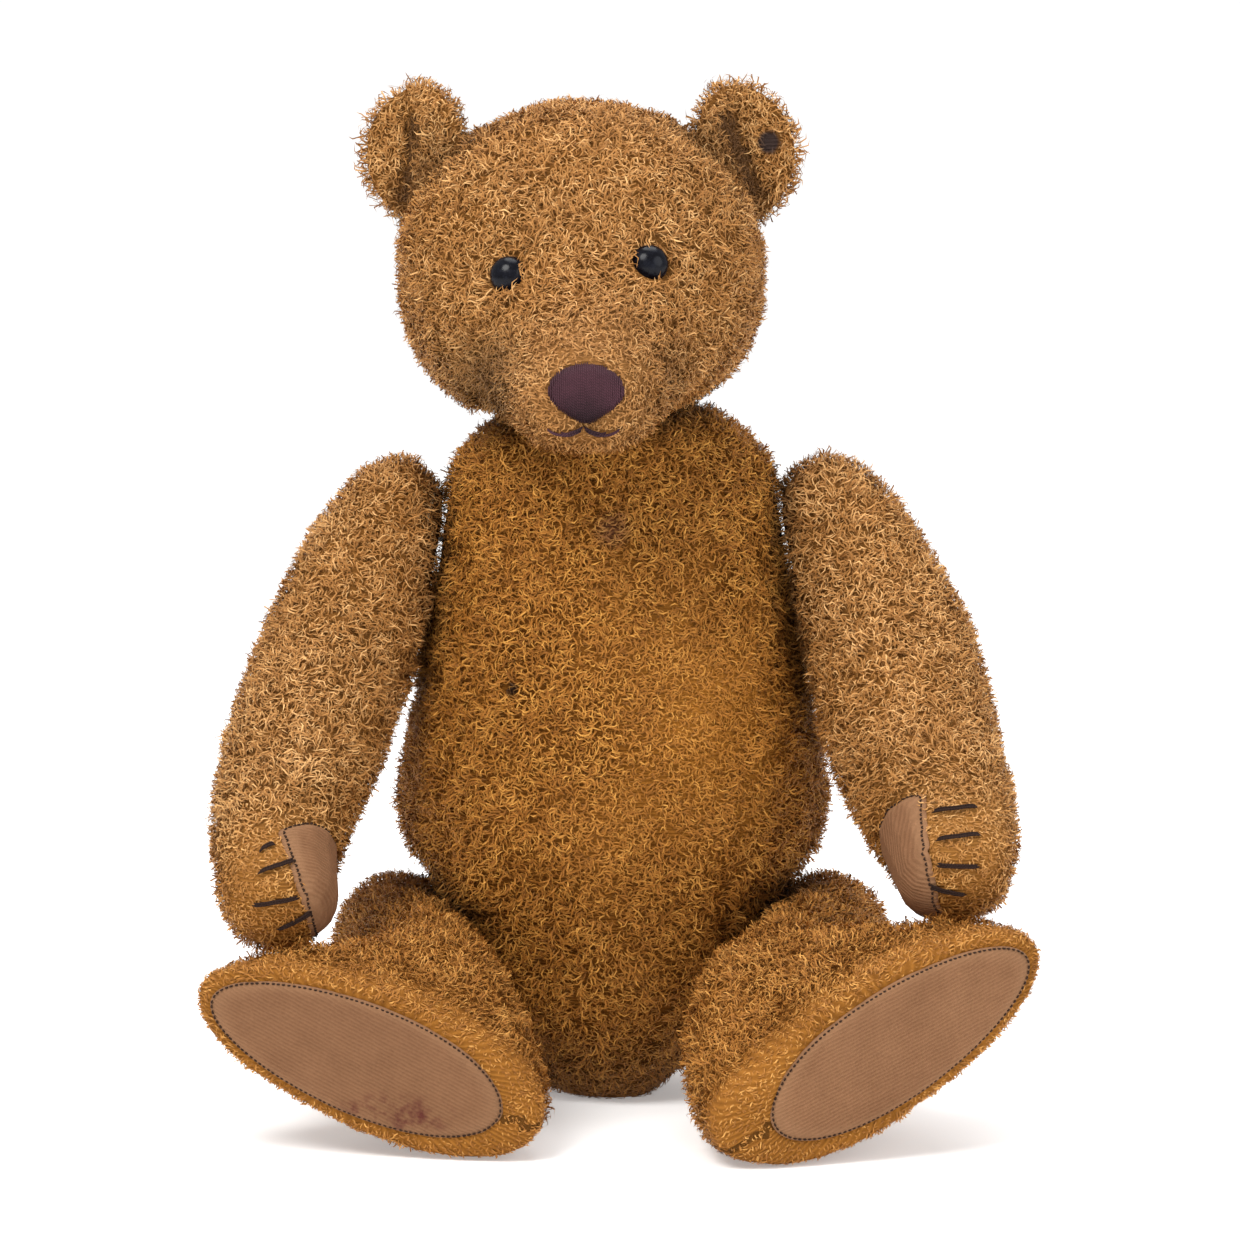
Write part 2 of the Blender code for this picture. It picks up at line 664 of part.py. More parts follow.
def add_eye(side_name, head, surface):
    """A boot button sunk in a socket, with the wire loop that ties it at its back."""
    at, normal = front_point(surface, *EYES[side_name])
    axis = unit(normal + np.array([0, -EYE_FORWARD, 0]))
    back = at - axis * EYE_SUNK
    bevel, rim = EYE_RIM
    rises = np.linspace(0, math.pi / 2, 6)[:-1]
    dome = [(EYE_RADIUS * math.cos(t), rim + EYE_DOME * math.sin(t)) for t in rises]
    button = [(0, 0), (EYE_RADIUS - bevel, 0)] + dome + [(0, rim + EYE_DOME)]
    add_solid(side_name + "_eye", *turned(button, back, axis, EYE_SEGMENTS), BUTTON, "neck")
    deep = 2 * (LOOP_RADIUS + LOOP_WIRE + GAP) + GAP
    narrow = LOOP_RADIUS + LOOP_WIRE + 2 * GAP
    wide = EYE_RADIUS + GAP
    socket = [(0, -deep), (narrow, -deep), (narrow, -GAP), (wide, -GAP), (wide, EYE_SOCKET), (0, EYE_SOCKET)]
    cut(head, add_solid(side_name + "_eye_socket", *turned(socket, back, axis, EYE_SEGMENTS)))
    middle = back - axis * (GAP + LOOP_WIRE + LOOP_RADIUS)
    across = square_to((1, 0, 0), axis)
    turns = np.arange(LOOP_SEGMENTS) * 2 * math.pi / LOOP_SEGMENTS
    path = [middle + LOOP_RADIUS * (across * math.cos(t) + axis * math.sin(t)) for t in turns]
    add_solid(side_name + "_eye_loop", *tube(path, LOOP_WIRE, closed=True), STEEL, "neck")


def nose_outline(size):
    """A rounded triangle with a broad top, as x and z about NOSE_AT."""
    made = []
    for u, v in oval(24):
        narrow = 1 - NOSE_TAPER * min(v, 0) ** 2
        made.append((NOSE_HALF[0] * u * narrow * size, NOSE_HALF[1] * (NOSE_TOP * v if v > 0 else v) * size))
    return made


def add_nose(grown_head, surface):
    """A pad of satin stitch on the end of the muzzle."""
    x, z = NOSE_AT
    front = front_point(surface, x, z)[0][1] - NOSE_PROUD
    rings = []
    for depth, size in NOSE_LAYERS:
        rings.append(np.array([(x + u, front + depth, z + v) for u, v in nose_outline(size)]))
    nose = add_solid("nose", *skin(rings, None, (x, front, z)), NOSE_THREAD, "neck")
    cut(nose, grown_head)


def add_mouth(surface):
    x, z = MOUTH_AT
    for side_name, way in (("right", -1), ("left", 1)):
        ends = (x + way * (MOUTH_WIRE + GAP), z, x + way * MOUTH_REACH[0], z + MOUTH_REACH[1])
        path = thread_path(surface, ends, MOUTH_WIRE, MOUTH_BOW)
        add_solid("mouth_" + side_name, *tube(path, MOUTH_WIRE), NOSE_THREAD, "neck")


def add_claws(side_name):
    surface = surface_of(arm_body(side_name))
    for number, ends in enumerate(CLAWS[side_name], 1):
        path = thread_path(surface, ends, CLAW_WIRE)
        name = f"{side_name}_claw_{number}"
        add_solid(name, *tube(path, CLAW_WIRE), CLAW_THREAD, side_name + "_shoulder")


def main():
    clear_scene()
    make_empties()
    torso = add_solid("torso", *torso_body(), MOHAIR)
    head = add_solid("head", *head_body(), MOHAIR, "neck")
    add_joint("neck", torso, head, "head")
    surface = surface_of(head_body())
    grown_head = add_solid("head_clearance", *head_body(GAP))
    for side_name in ("left", "right"):
        ear = add_solid(side_name + "_ear", *ear_body(side_name), MOHAIR, "neck")
        cut(ear, grown_head)
        add_eye(side_name, head, surface)
        arm = add_solid(side_name + "_arm", *arm_body(side_name), MOHAIR, side_name + "_shoulder")
        leg = add_solid(side_name + "_leg", *leg_body(side_name), MOHAIR, side_name + "_hip")
        add_paw_pad(side_name, arm)
        add_foot_pad(side_name, leg)
        add_claws(side_name)
        add_joint(side_name + "_shoulder", torso, arm, "arm")
        add_joint(side_name + "_hip", torso, leg, "leg")
    add_nose(grown_head, surface)
    add_mouth(surface)


main()
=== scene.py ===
import json
import math

import bmesh
import bpy
import numpy as np
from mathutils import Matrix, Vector
from mathutils.bvhtree import BVHTree


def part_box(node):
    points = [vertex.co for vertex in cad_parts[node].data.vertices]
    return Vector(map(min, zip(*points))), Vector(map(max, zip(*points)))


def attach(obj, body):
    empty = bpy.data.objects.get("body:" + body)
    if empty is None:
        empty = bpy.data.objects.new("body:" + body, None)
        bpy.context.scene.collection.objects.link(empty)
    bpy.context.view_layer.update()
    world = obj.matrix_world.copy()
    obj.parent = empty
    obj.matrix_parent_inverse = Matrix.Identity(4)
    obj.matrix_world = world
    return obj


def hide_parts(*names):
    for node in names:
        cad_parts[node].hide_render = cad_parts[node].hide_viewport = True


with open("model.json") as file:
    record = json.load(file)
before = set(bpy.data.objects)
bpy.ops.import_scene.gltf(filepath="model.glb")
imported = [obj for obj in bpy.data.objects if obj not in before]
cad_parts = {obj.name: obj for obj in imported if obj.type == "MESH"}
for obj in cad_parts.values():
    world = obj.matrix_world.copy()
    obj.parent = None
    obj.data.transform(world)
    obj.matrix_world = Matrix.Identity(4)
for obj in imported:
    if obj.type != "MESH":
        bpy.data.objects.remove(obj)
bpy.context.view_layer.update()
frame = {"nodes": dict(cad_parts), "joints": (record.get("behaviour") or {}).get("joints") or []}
nodes = frame["nodes"]
mm = 0.001
print("frame loaded:", len(nodes), "nodes")


# shader helpers


class Socket:
    def __init__(self, finish, out):
        self.finish = finish
        self.out = out

    def worked(self, operation, first, second):
        return self.finish.add("ShaderNodeMath", {"operation": operation}, {0: first, 1: second})

    def __add__(self, other):
        return self.worked("ADD", self, other)

    def __radd__(self, other):
        return self.worked("ADD", other, self)

    def __sub__(self, other):
        return self.worked("SUBTRACT", self, other)

    def __rsub__(self, other):
        return self.worked("SUBTRACT", other, self)

    def __mul__(self, other):
        return self.worked("MULTIPLY", self, other)

    def __rmul__(self, other):
        return self.worked("MULTIPLY", other, self)


class Finish:
    def __init__(self, name, **fixed):
        self.material = bpy.data.materials.new(name)
        self.material.use_nodes = True
        self.tree = self.material.node_tree
        self.shader = self.tree.nodes["Principled BSDF"]
        for key, value in fixed.items():
            self.shader.inputs[key.replace("_", " ")].default_value = value

    def add(self, kind, settings=None, sockets=None, out=0):
        node = self.tree.nodes.new(kind)
        for key, value in (settings or {}).items():
            if key == "stops":
                ramp = node.color_ramp
                while len(ramp.elements) < len(value):
                    ramp.elements.new(1.0)
                for element, (at, colour) in zip(ramp.elements, value):
                    element.position = at
                    element.color = (*(colour if isinstance(colour, tuple) else (colour,) * 3), 1.0)
            else:
                setattr(node, key, value)
        for key, value in (sockets or {}).items():
            self.put(node.inputs[key], value)
        return Socket(self, node.outputs[out])

    def put(self, socket, value):
        if isinstance(value, Socket):
            self.tree.links.new(value.out, socket)
        elif isinstance(value, tuple) and len(value) == 3 and socket.type == "RGBA":
            socket.default_value = (*value, 1.0)
        else:
            socket.default_value = value

    def feed(self, name, value):
        self.put(self.shader.inputs[name], value)

    def place(self):
        return self.add("ShaderNodeTexCoord", out="Object")

    def stretched(self, scale, turn):
        return self.add("ShaderNodeMapping", {}, {"Vector": self.place(), "Scale": scale, "Rotation": turn})

    def noise(self, scale, detail=2.0, rough=0.5):
        sockets = {"Vector": self.place(), "Scale": scale, "Detail": detail, "Roughness": rough}
        return self.add("ShaderNodeTexNoise", {}, sockets)

    def sine(self, value):
        return self.add("ShaderNodeMath", {"operation": "SINE"}, {0: value})

    def ramp(self, value, stops):
        return self.add("ShaderNodeValToRGB", {"stops": stops}, {0: value})

    def mix(self, factor, first, second, way="MIX"):
        settings = {"data_type": "RGBA", "blend_type": way, "clamp_factor": True}
        return self.add("ShaderNodeMix", settings, {0: factor, 6: first, 7: second}, out=2)

    def value(self, name):
        return self.add("ShaderNodeAttribute", {"attribute_name": name}, out="Fac")

    def spot(self, middle, near, far, where=None):  # 1 inside near, 0 outside far, in metres
        places = {0: where or self.place(), 1: middle}
        away = self.add("ShaderNodeVectorMath", {"operation": "DISTANCE"}, places, out="Value")
        sockets = {"Value": away, "From Min": near, "From Max": far, "To Min": 1.0, "To Max": 0.0}
        return self.add("ShaderNodeMapRange", {"interpolation_type": "SMOOTHSTEP"}, sockets)

    def bump(self, height, distance, strength=1.0):
        sockets = {"Height": height, "Distance": distance, "Strength": strength}
        self.feed("Normal", self.add("ShaderNodeBump", {}, sockets))


# camera, floor and lights

viewSettings = {
    "aim": (0.002, 0.0, 0.128),
    "distance": 2.2,
    "elevation": 6.0,  # degrees above level
    "lens": 235.68,  # mm
    "sensor": 36.0,
    "clip": 50.0,
}
studioSettings = {
    "floorColour": (0.90, 0.90, 0.90),
    "floorRoughness": 0.9,
    "floorSpecular": 0.15,
    "floorGlow": 0.30,
    "skyStrength": 0.58,
    "sweep": {"front": -4.5, "bend": 2.9, "radius": 0.9, "top": 3.2, "halfWidth": 4.5, "steps": 16},
    "lightAim": (0, 0, 0.12),
    "key": {"at": (-0.75, -1.15, 1.55), "size": 1.0, "power": 31.5, "colour": (1.0, 0.985, 0.96)},
    "fill": {"at": (1.25, -0.95, 0.75), "size": 1.3, "power": 10.0, "colour": (0.96, 0.98, 1.0)},
    "top": {"at": (0.1, 0.35, 1.6), "size": 1.2, "power": 16.0, "colour": (1.0, 1.0, 1.0)},
}


def placed(name, data):
    made = bpy.data.objects.new(name, data)
    bpy.context.scene.collection.objects.link(made)
    return made


def makeCamera():
    aim = Vector(viewSettings["aim"])
    tilt = math.radians(viewSettings["elevation"])
    data = bpy.data.cameras.new("portraitCamera")
    data.lens = viewSettings["lens"]
    data.sensor_width = viewSettings["sensor"]
    data.clip_end = viewSettings["clip"]
    camera = placed("portraitCamera", data)
    camera.location = aim + Vector((0, -math.cos(tilt), math.sin(tilt))) * viewSettings["distance"]
    camera.rotation_euler = (aim - camera.location).to_track_quat("-Z", "Y").to_euler()
    bpy.context.scene.camera = camera


def makeLight(name, spec):
    data = bpy.data.lights.new(name, "AREA")
    data.shape = "DISK"
    data.size = spec["size"]
    data.energy = spec["power"]
    data.color = spec["colour"]
    light = placed(name, data)
    light.location = spec["at"]
    toAim = Vector(studioSettings["lightAim"]) - light.location
    light.rotation_euler = toAim.to_track_quat("-Z", "Y").to_euler()


def makeFloor():
    sweep = studioSettings["sweep"]
    radius = sweep["radius"]
    profile = [(sweep["front"], 0.0), (sweep["bend"], 0.0)]
    for turn in np.linspace(0, math.pi / 2, sweep["steps"] + 1)[1:]:
        profile.append((sweep["bend"] + radius * math.sin(turn), radius * (1 - math.cos(turn))))
    profile.append((sweep["bend"] + radius, sweep["top"]))
    points = [(x, y, z) for y, z in profile for x in (-sweep["halfWidth"], sweep["halfWidth"])]
    faces = [(2 * i, 2 * i + 1, 2 * i + 3, 2 * i + 2) for i in range(len(profile) - 1)]
    mesh = bpy.data.meshes.new("studioFloor")
    mesh.from_pydata(points, [], faces)
    mesh.shade_smooth()
    finish = Finish(
        "studioFloor",
        Base_Color=(*studioSettings["floorColour"], 1),
        Roughness=studioSettings["floorRoughness"],
        Specular_IOR_Level=studioSettings["floorSpecular"],
        Emission_Color=(1, 1, 1, 1),
        Emission_Strength=studioSettings["floorGlow"],
    )
    mesh.materials.append(finish.material)
    placed("studioFloor", mesh)


def makeStudio():
    world = bpy.data.worlds.new("studio")
    world.use_nodes = True
    sky = world.node_tree.nodes["Background"]
    sky.inputs["Color"].default_value = (1, 1, 1, 1)
    sky.inputs["Strength"].default_value = studioSettings["skyStrength"]
    bpy.context.scene.world = world
    bpy.context.scene.view_settings.view_transform = "Standard"
    for name in ("key", "fill", "top"):
        makeLight(name, studioSettings[name])
    makeFloor()


makeCamera()
makeStudio()
print("camera and studio set")


# arrays of points, in millimetres


def unit(rows):
    return rows / np.maximum(np.linalg.norm(rows, axis=-1, keepdims=True), 1e-9)


def smooth(value, low, high):  # 0 below low, 1 above high
    t = np.clip((value - low) / (high - low), 0, 1)
    return t * t * (3 - 2 * t)


def waves(points, size, seed, count=9):  # soft noise of about unit spread, size in millimetres
    rng = np.random.default_rng(seed)
    total = np.zeros(len(points))
    for run in unit(rng.normal(size=(count, 3))) * (rng.uniform(0.7, 1.4, (count, 1)) * 2 * math.pi / size):
        total += np.sin(points @ run + rng.uniform(0, 2 * math.pi))
    return total * math.sqrt(2 / count)


def meshPoints(mesh):
    points = np.empty(len(mesh.vertices) * 3)
    mesh.vertices.foreach_get("co", points)
    return points.reshape(-1, 3) / mm


def meshNormals(mesh):
    normals = np.empty(len(mesh.vertices) * 3)
    mesh.vertices.foreach_get("normal", normals)
    return normals.reshape(-1, 3)


def markPoints(mesh, marks):
    for label, values in marks.items():
        layer = mesh.attributes.new(label, "FLOAT", "POINT")
        layer.data.foreach_set("value", np.asarray(values, np.float32))


def refinish(mesh, material):
    mesh.materials.clear()
    mesh.materials.append(material)


def ringFaces(first, rows, around):  # the quads between rings of points that follow each other
    starts = range(first, first + rows * around, around)
    pairs = [(i, (i + 1) % around) for i in range(around)]
    return [(a + i, a + j, a + around + j, a + around + i) for a in starts for i, j in pairs]


def addObject(name, points, faces, material, body):  # points in millimetres
    mesh = bpy.data.meshes.new(name)
    mesh.from_pydata((np.asarray(points) * mm).tolist(), [], faces)
    mesh.shade_smooth()
    mesh.materials.append(material)
    made = placed(name, mesh)
    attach(made, body)
    return made


def tree(name):
    data = nodes[name].data
    return BVHTree.FromPolygons([v.co / mm for v in data.vertices], [p.vertices[:] for p in data.polygons])


# what the joints say: a point on each axis and its direction, in millimetres

hinges = []
for joint in frame["joints"]:
    hinges.append((np.array(joint["pos_m"]) / mm, unit(np.array(joint["axis"], float)), joint["child"]))
jointFlats = {"neck": 34.0, "limb": 30.0, "fade": 6.0, "deep": (0.8, 2.6)}  # where bags lie flat together


def hingesOf(body):
    return [(at, axis) for at, axis, child in hinges if body in (child, "torso")]


def nearHinge(points, body, share=1.0):  # 1 on the flat round a joint, less away from its plane
    mask = np.zeros(len(points))
    for at, axis in hingesOf(body):
        offset = points - at
        along = offset @ axis
        out = np.linalg.norm(offset - np.outer(along, axis), axis=1)
        reach = jointFlats["neck"] if abs(axis[2]) > 0.9 else jointFlats["limb"] * share
        flat = 1 - smooth(np.abs(along), *jointFlats["deep"])
        mask = np.maximum(mask, flat * (1 - smooth(out, reach, reach + jointFlats["fade"])))
    return mask


# finishes

clothLook = {
    "ground": ((0.100, 0.040, 0.009), (0.235, 0.102, 0.026)),  # between the pile
    "bald": ((0.150, 0.062, 0.015), (0.400, 0.190, 0.055)),  # where the pile is rubbed off
    "rib": 1.0,  # mm from one row of the weave to the next
    "spokes": 15.0,  # rows to a radian round a sole
}
pileLook = {
    # the colour at the roots: the roots' own colour and painted shade between the strands
    "root": (0.175, 0.072, 0.018),
    "dark": (0.270, 0.114, 0.028),
    "mid": (0.480, 0.228, 0.068),
    "light": (0.860, 0.510, 0.215),
    "ochre": (0.83, 0.67, 0.31),  # what the fawn is multiplied by on the body and legs
    "rust": (0.50, 0.20, 0.035),
    "gloom": (0.020, 0.009, 0.004),  # painted shade in the clefts between bags, in the ear folds and low on the seat
}
stainsAndShade = (  # stains and painted shade: place, inner and outer radius in metres, strength and colour
    ((0.036, -0.036, 0.102), 0.006, 0.036, 0.34, (0.55, 0.22, 0.030)),  # belly
    ((-0.009, -0.072, 0.200), 0.008, 0.030, 0.22, (0.42, 0.21, 0.085)),  # muzzle
    ((-0.034, -0.044, 0.186), 0.006, 0.030, 0.62, (0.070, 0.040, 0.014)),  # painted shadow under the chin, on the throat
    ((-0.032, -0.058, 0.200), 0.004, 0.018, 0.34, (0.110, 0.056, 0.020)),  # painted shade right of the muzzle
    ((0.017, -0.058, 0.197), 0.003, 0.015, 0.26, (0.110, 0.056, 0.020)),  # painted shade left of it
    ((0.000, -0.036, 0.156), 0.002, 0.007, 0.40, (0.13, 0.060, 0.050)),  # chest
    ((0.0425, 0.0075, 0.257), 0.0026, 0.0040, 0.92, (0.030, 0.023, 0.024)),  # ear
    ((-0.027, -0.0385, 0.1136), 0.0015, 0.0026, 0.95, (0.010, 0.005, 0.003)),  # hole: the shade inside it is painted on the cloth
)
feltLook = {
    "low": (0.132, 0.059, 0.027),
    "high": (0.304, 0.153, 0.077),
    "worn": (0.36, 0.20, 0.105),  # at the edges
    "dust": (0.12, 0.055, 0.030),
    "smudge": (0.085, 0.018, 0.016),
    "line": 0.95,  # mm from one line of the twill to the next
    "waver": 0.8,
}
smudgeLook = {
    "at": (-0.057, -0.117, 0.0115),
    "near": 0.007,
    "far": 0.021,
    "tilt": 18,
    "squash": 2.8,
    "strength": 0.9,
}


def pileTint(finish, colour):  # the slow changes of hue over the whole bear, its stains, and painted shade on the throat and beside the muzzle
    ochre = finish.mix(1.0, colour, pileLook["ochre"], "MULTIPLY")
    colour = finish.mix(finish.value("warm"), colour, ochre)
    slow = finish.ramp(finish.noise(26.0, 3.0, 0.55), [(0.36, 0.0), (0.66, 1.0)])
    colour = finish.mix(slow * 0.22, colour, pileLook["rust"])
    for middle, near, far, much, hue in stainsAndShade:
        colour = finish.mix(finish.spot(middle, near, far) * much, colour, hue)
    return colour


def makePile():
    finish = Finish("pile", Roughness=0.6, Specular_IOR_Level=0.16)
    stops = [(0.0, pileLook["dark"]), (0.5, pileLook["mid"]), (1.0, pileLook["light"])]
    colour = finish.ramp(finish.value("tone"), stops)
    # darker toward the roots: the roots' own colour and painted shade between the strands
    depth = finish.ramp(finish.value("along"), [(0.0, 0.0), (0.45, 0.8), (1.0, 1.0)])
    colour = finish.mix(depth, pileLook["root"], pileTint(finish, colour))
    # painted shade in the clefts, the ear folds and low on the seat
    finish.feed("Base Color", finish.mix(finish.value("gloom"), colour, pileLook["gloom"]))
    return finish.material


def makeCloth():
    finish = Finish("wovenBack", Roughness=0.95, Specular_IOR_Level=0.08)
    rib = finish.sine(finish.value("row") * (2 * math.pi)) * 0.5 + 0.5
    fuzz = finish.noise(900.0, 3.0, 0.7)
    bald = finish.mix(rib * 0.5 + fuzz * 0.5, *clothLook["bald"])
    ground = finish.mix(fuzz, *clothLook["ground"])
    colour = pileTint(finish, finish.mix(finish.value("bare"), ground, bald))
    # painted shade in the clefts, the ear folds and low on the seat
    finish.feed("Base Color", finish.mix(finish.value("gloom"), colour, pileLook["gloom"]))
    finish.bump(rib * 0.6 + fuzz * 0.5, 0.5 * mm)
    return finish.material


def makeFelt(name, smudge=None):
    finish = Finish(name, Roughness=0.95, Specular_IOR_Level=0.1)
    waver = finish.noise(160.0, 2.0) * feltLook["waver"]
    twill = finish.sine((finish.value("line") + waver) * (2 * math.pi / feltLook["line"]))
    fibre = finish.noise(1400.0, 4.0, 0.75)
    cloud = finish.noise(95.0, 4.0, 0.65)
    shade = twill * 0.1 + fibre * 0.62 + cloud * 0.62 - 0.16
    colour = finish.mix(shade, feltLook["low"], feltLook["high"])
    if smudge:
        colour = finish.mix(0.22, colour, feltLook["dust"])
        colour = finish.mix(smudge(finish), colour, feltLook["smudge"])
    finish.feed("Base Color", finish.mix(finish.value("edge") * 0.3, colour, feltLook["worn"]))
    finish.bump(twill * 0.25 + fibre * 0.8, 0.28 * mm)
    return finish.material


def fadedSmudge(finish):  # an old stain without any form, low on the right sole
    look = smudgeLook
    tilt = math.radians(look["tilt"])
    here = finish.stretched((1.0, 1.0, look["squash"]), (0, tilt, 0))
    x, y, z = look["at"]
    z *= look["squash"]
    middle = (x * math.cos(tilt) + z * math.sin(tilt), y, z * math.cos(tilt) - x * math.sin(tilt))
    patch = finish.spot(middle, look["near"], look["far"], here)
    blot = finish.ramp(finish.noise(210.0, 4.0, 0.62), [(0.47, 0.0), (0.64, 1.0)])
    return patch * blot * look["strength"]


def makeThread(name, low, high, rough=0.72, dark=None):  # dark is where painted shade darkens the thread, in metres
    finish = Finish(name, Roughness=rough, Specular_IOR_Level=0.2)
    strand = finish.sine(finish.value("ply") * (2 * math.pi)) * 0.5 + 0.5
    fuzz = finish.noise(1500.0, 3.0, 0.7)
    # noise for wear, less painted shade round the dark place
    worn = finish.noise(140.0, 2.0) * 0.5 - finish.spot(dark, 2 * mm, 11 * mm) * 0.5 - 0.2 if dark else 0.0
    finish.feed("Base Color", finish.mix(strand * 0.5 + fuzz * 0.6 + worn, low, high))
    finish.bump(strand * 0.5 + fuzz * 0.4, 0.12 * mm)
    return finish.material


def makeButton():
    finish = Finish("bootButton", Specular_IOR_Level=0.15)
    scuff = finish.ramp(finish.noise(420.0, 5.0, 0.7), [(0.42, 0.0), (0.72, 1.0)])
    finish.feed("Base Color", finish.mix(scuff * 0.5, (0.003, 0.003, 0.005), (0.012, 0.014, 0.024)))
    finish.feed("Roughness", 0.15 + scuff * 0.22)
    finish.bump(finish.noise(240.0, 3.0), 0.05 * mm, 0.4)
    return finish.material


def makeCard():
    finish = Finish("pressedCard", Roughness=0.88)
    fibre = finish.noise(700.0, 4.0, 0.7)
    finish.feed("Base Color", finish.mix(fibre, (0.22, 0.145, 0.075), (0.47, 0.345, 0.21)))
    finish.bump(fibre, 0.1 * mm)
    return finish.material


def makeSteel():
    finish = Finish("dullSteel", Metallic=1.0)
    rust = finish.ramp(finish.noise(260.0, 4.0, 0.6), [(0.45, 0.0), (0.7, 1.0)])
    finish.feed("Base Color", finish.mix(rust * 0.7, (0.36, 0.34, 0.32), (0.22, 0.12, 0.07)))
    finish.feed("Roughness", 0.35 + rust * 0.4)
    finish.bump(finish.noise(900.0, 3.0), 0.03 * mm)
    return finish.material


noseLow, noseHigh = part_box("nose")
# the lower tip of the nose, which gets painted shade
noseTip = ((noseLow.x + noseHigh.x) / 2, noseLow.y + 2 * mm, noseLow.z)
pileFinish = makePile()
clothFinish = makeCloth()
noseThread = makeThread("noseSilk", (0.010, 0.003, 0.005), (0.082, 0.028, 0.040), 0.66, noseTip)
clawThread = makeThread("clawThread", (0.008, 0.004, 0.003), (0.034, 0.015, 0.010), 0.9)
seamThread = makeThread("seamThread", (0.012, 0.005, 0.003), (0.045, 0.020, 0.010))
buttonFinish = makeButton()
cardFinish = makeCard()
steelFinish = makeSteel()
print("finishes made")


# felt pads: their frames come from the CAD pads, and the pile keeps clear of them

padLook = {
    "Foot": {"egg": 0.10, "crown": 0.55, "lift": 0.12, "twill": 6.0, "inside": 0.5},
    "Paw": {"egg": 0.0, "crown": 0.30, "lift": 0.15, "twill": -24.0, "inside": 0.1},
    "rings": 16,
    "around": 96,
    "search": {"from": 1.1, "to": 0.3, "step": 0.01},  # shares of the oval, from outside to inside
    "turnedIn": 0.9,
    "skirt": 0.8,
    "stitch": {"step": 1.4, "long": 0.95, "radius": 0.27, "lift": 0.16, "arch": 0.5, "stray": 0.12},
}
palmFacing = {"right": (0.95, 0.12, 0.29), "left": (-0.97, 0.15, -0.19)}
palmAlong = {"right": (0.26, 0.19, -0.94), "left": (0.17, -0.12, -0.98)}  # wrist to tip


def squareTo(direction, axis):
    direction = np.asarray(direction, float)
    return unit(direction - (direction @ axis) * axis)


def padFrame(name, body, outward, toe):  # the sole's plane by its least spread, the palm's by its facing
    points = meshPoints(nodes[name].data)
    if name.endswith("foot_pad"):
        _, _, axes = np.linalg.svd(points - points.mean(0), full_matrices=False)
        normal = axes[2] * np.sign(axes[2] @ outward)
        long = axes[0] * np.sign(axes[0] @ toe)
    else:
        normal = unit(np.array(outward))
        long = squareTo(toe, normal)
    wide = np.cross(normal, long)
    middle = points.mean(0)
    at = points - middle
    at = np.stack([at @ axis for axis in (long, wide, normal)])
    low, high = at.min(1), at.max(1)
    shift = (low + high) / 2
    middle = middle + long * shift[0] + wide * shift[1] + normal * high[2]
    return {
        "name": name,
        "body": body,
        "middle": middle,
        "long": long,
        "wide": wide,
        "normal": normal,
        "half": (high - low)[:2] / 2,
        "deep": high[2] - low[2],
        "egg": padLook["Foot" if name.endswith("foot_pad") else "Paw"]["egg"],
        "solid": tree(name),
    }


def onSolid(pad, share, turn, inset=0.0):  # where the pad's solid lies under a place in its oval
    u = math.cos(turn) * share * (pad["half"][0] - inset)
    v = math.sin(turn) * share * (1 - pad["egg"] * math.cos(turn)) * (pad["half"][1] - inset)
    start = pad["middle"] + pad["long"] * u + pad["wide"] * v + pad["normal"] * 20
    hit = pad["solid"].ray_cast(Vector(start), Vector(-pad["normal"]))[0]
    return None if hit is None else np.array(hit)


def padEdge(pad):  # how far the solid goes out in each direction, as a share of the oval
    edge = []
    search = padLook["search"]
    for turn in np.arange(padLook["around"]) * 2 * math.pi / padLook["around"]:
        share = search["from"]
        while share > search["to"] and onSolid(pad, share, turn) is None:
            share -= search["step"]
        edge.append(share)
    edge = np.array(edge)
    return (np.roll(edge, 1) + 2 * edge + np.roll(edge, -1)) / 4


def edgeAt(pad, turn):
    place = np.asarray(turn) / (2 * math.pi) * padLook["around"]
    return np.interp(place, np.arange(padLook["around"] + 1), np.append(pad["edge"], pad["edge"][0]))


pads = {}
for side, way in (("right", -1.0), ("left", 1.0)):
    pads[side + "Foot"] = padFrame(side + "_foot_pad", side + "_leg", (0, -1.0, 0), (way, 0, 0.3))
    pads[side + "Paw"] = padFrame(side + "_paw_pad", side + "_arm", palmFacing[side], palmAlong[side])
for pad in pads.values():
    pad["edge"] = padEdge(pad)


def padReach(pad, points):  # 1 on the pad's edge, less inside it
    offset = points - pad["middle"]
    u = offset @ pad["long"] / pad["half"][0]
    v = offset @ pad["wide"] / pad["half"][1] / np.maximum(1 - pad["egg"] * u, 0.3)
    return np.hypot(u, v) / edgeAt(pad, np.arctan2(v, u) % (2 * math.pi)), offset @ pad["normal"]


# the stuffed bags: the solid's outer skin, remeshed, smoothed and a little lumpy

bagLook = {
    "torso": {"voxel": 2.7, "lump": 0.9, "lumpSize": 26.0, "press": 0.38, "fill": 0.85},
    "head": {"voxel": 2.5, "lump": 0.5, "lumpSize": 22.0, "press": 0.0, "fill": 0.9},
    "arm": {"voxel": 2.5, "lump": 0.4, "lumpSize": 17.0, "press": 0.38, "fill": 0.85},
    "leg": {"voxel": 2.3, "lump": 0.5, "lumpSize": 19.0, "press": 0.2, "fill": 0.85},
    "ear": {"voxel": 1.2, "lump": 0.0, "lumpSize": 10.0, "press": 0.0, "fill": 0.3},
    "bore": 2.7,
    "relax": 0.5,
    "smoothing": 5,
    "lumpsAbove": (1.0, 8.0),  # the seat stays flat below
    "pressAbove": (4.0, 14.0),
    "pressRoom": (3.0, 5.0),
}
seatMove = {"by": 5.0, "below": 34.0, "fade": 26.0, "across": (4, 20)}  # drawn in on the left
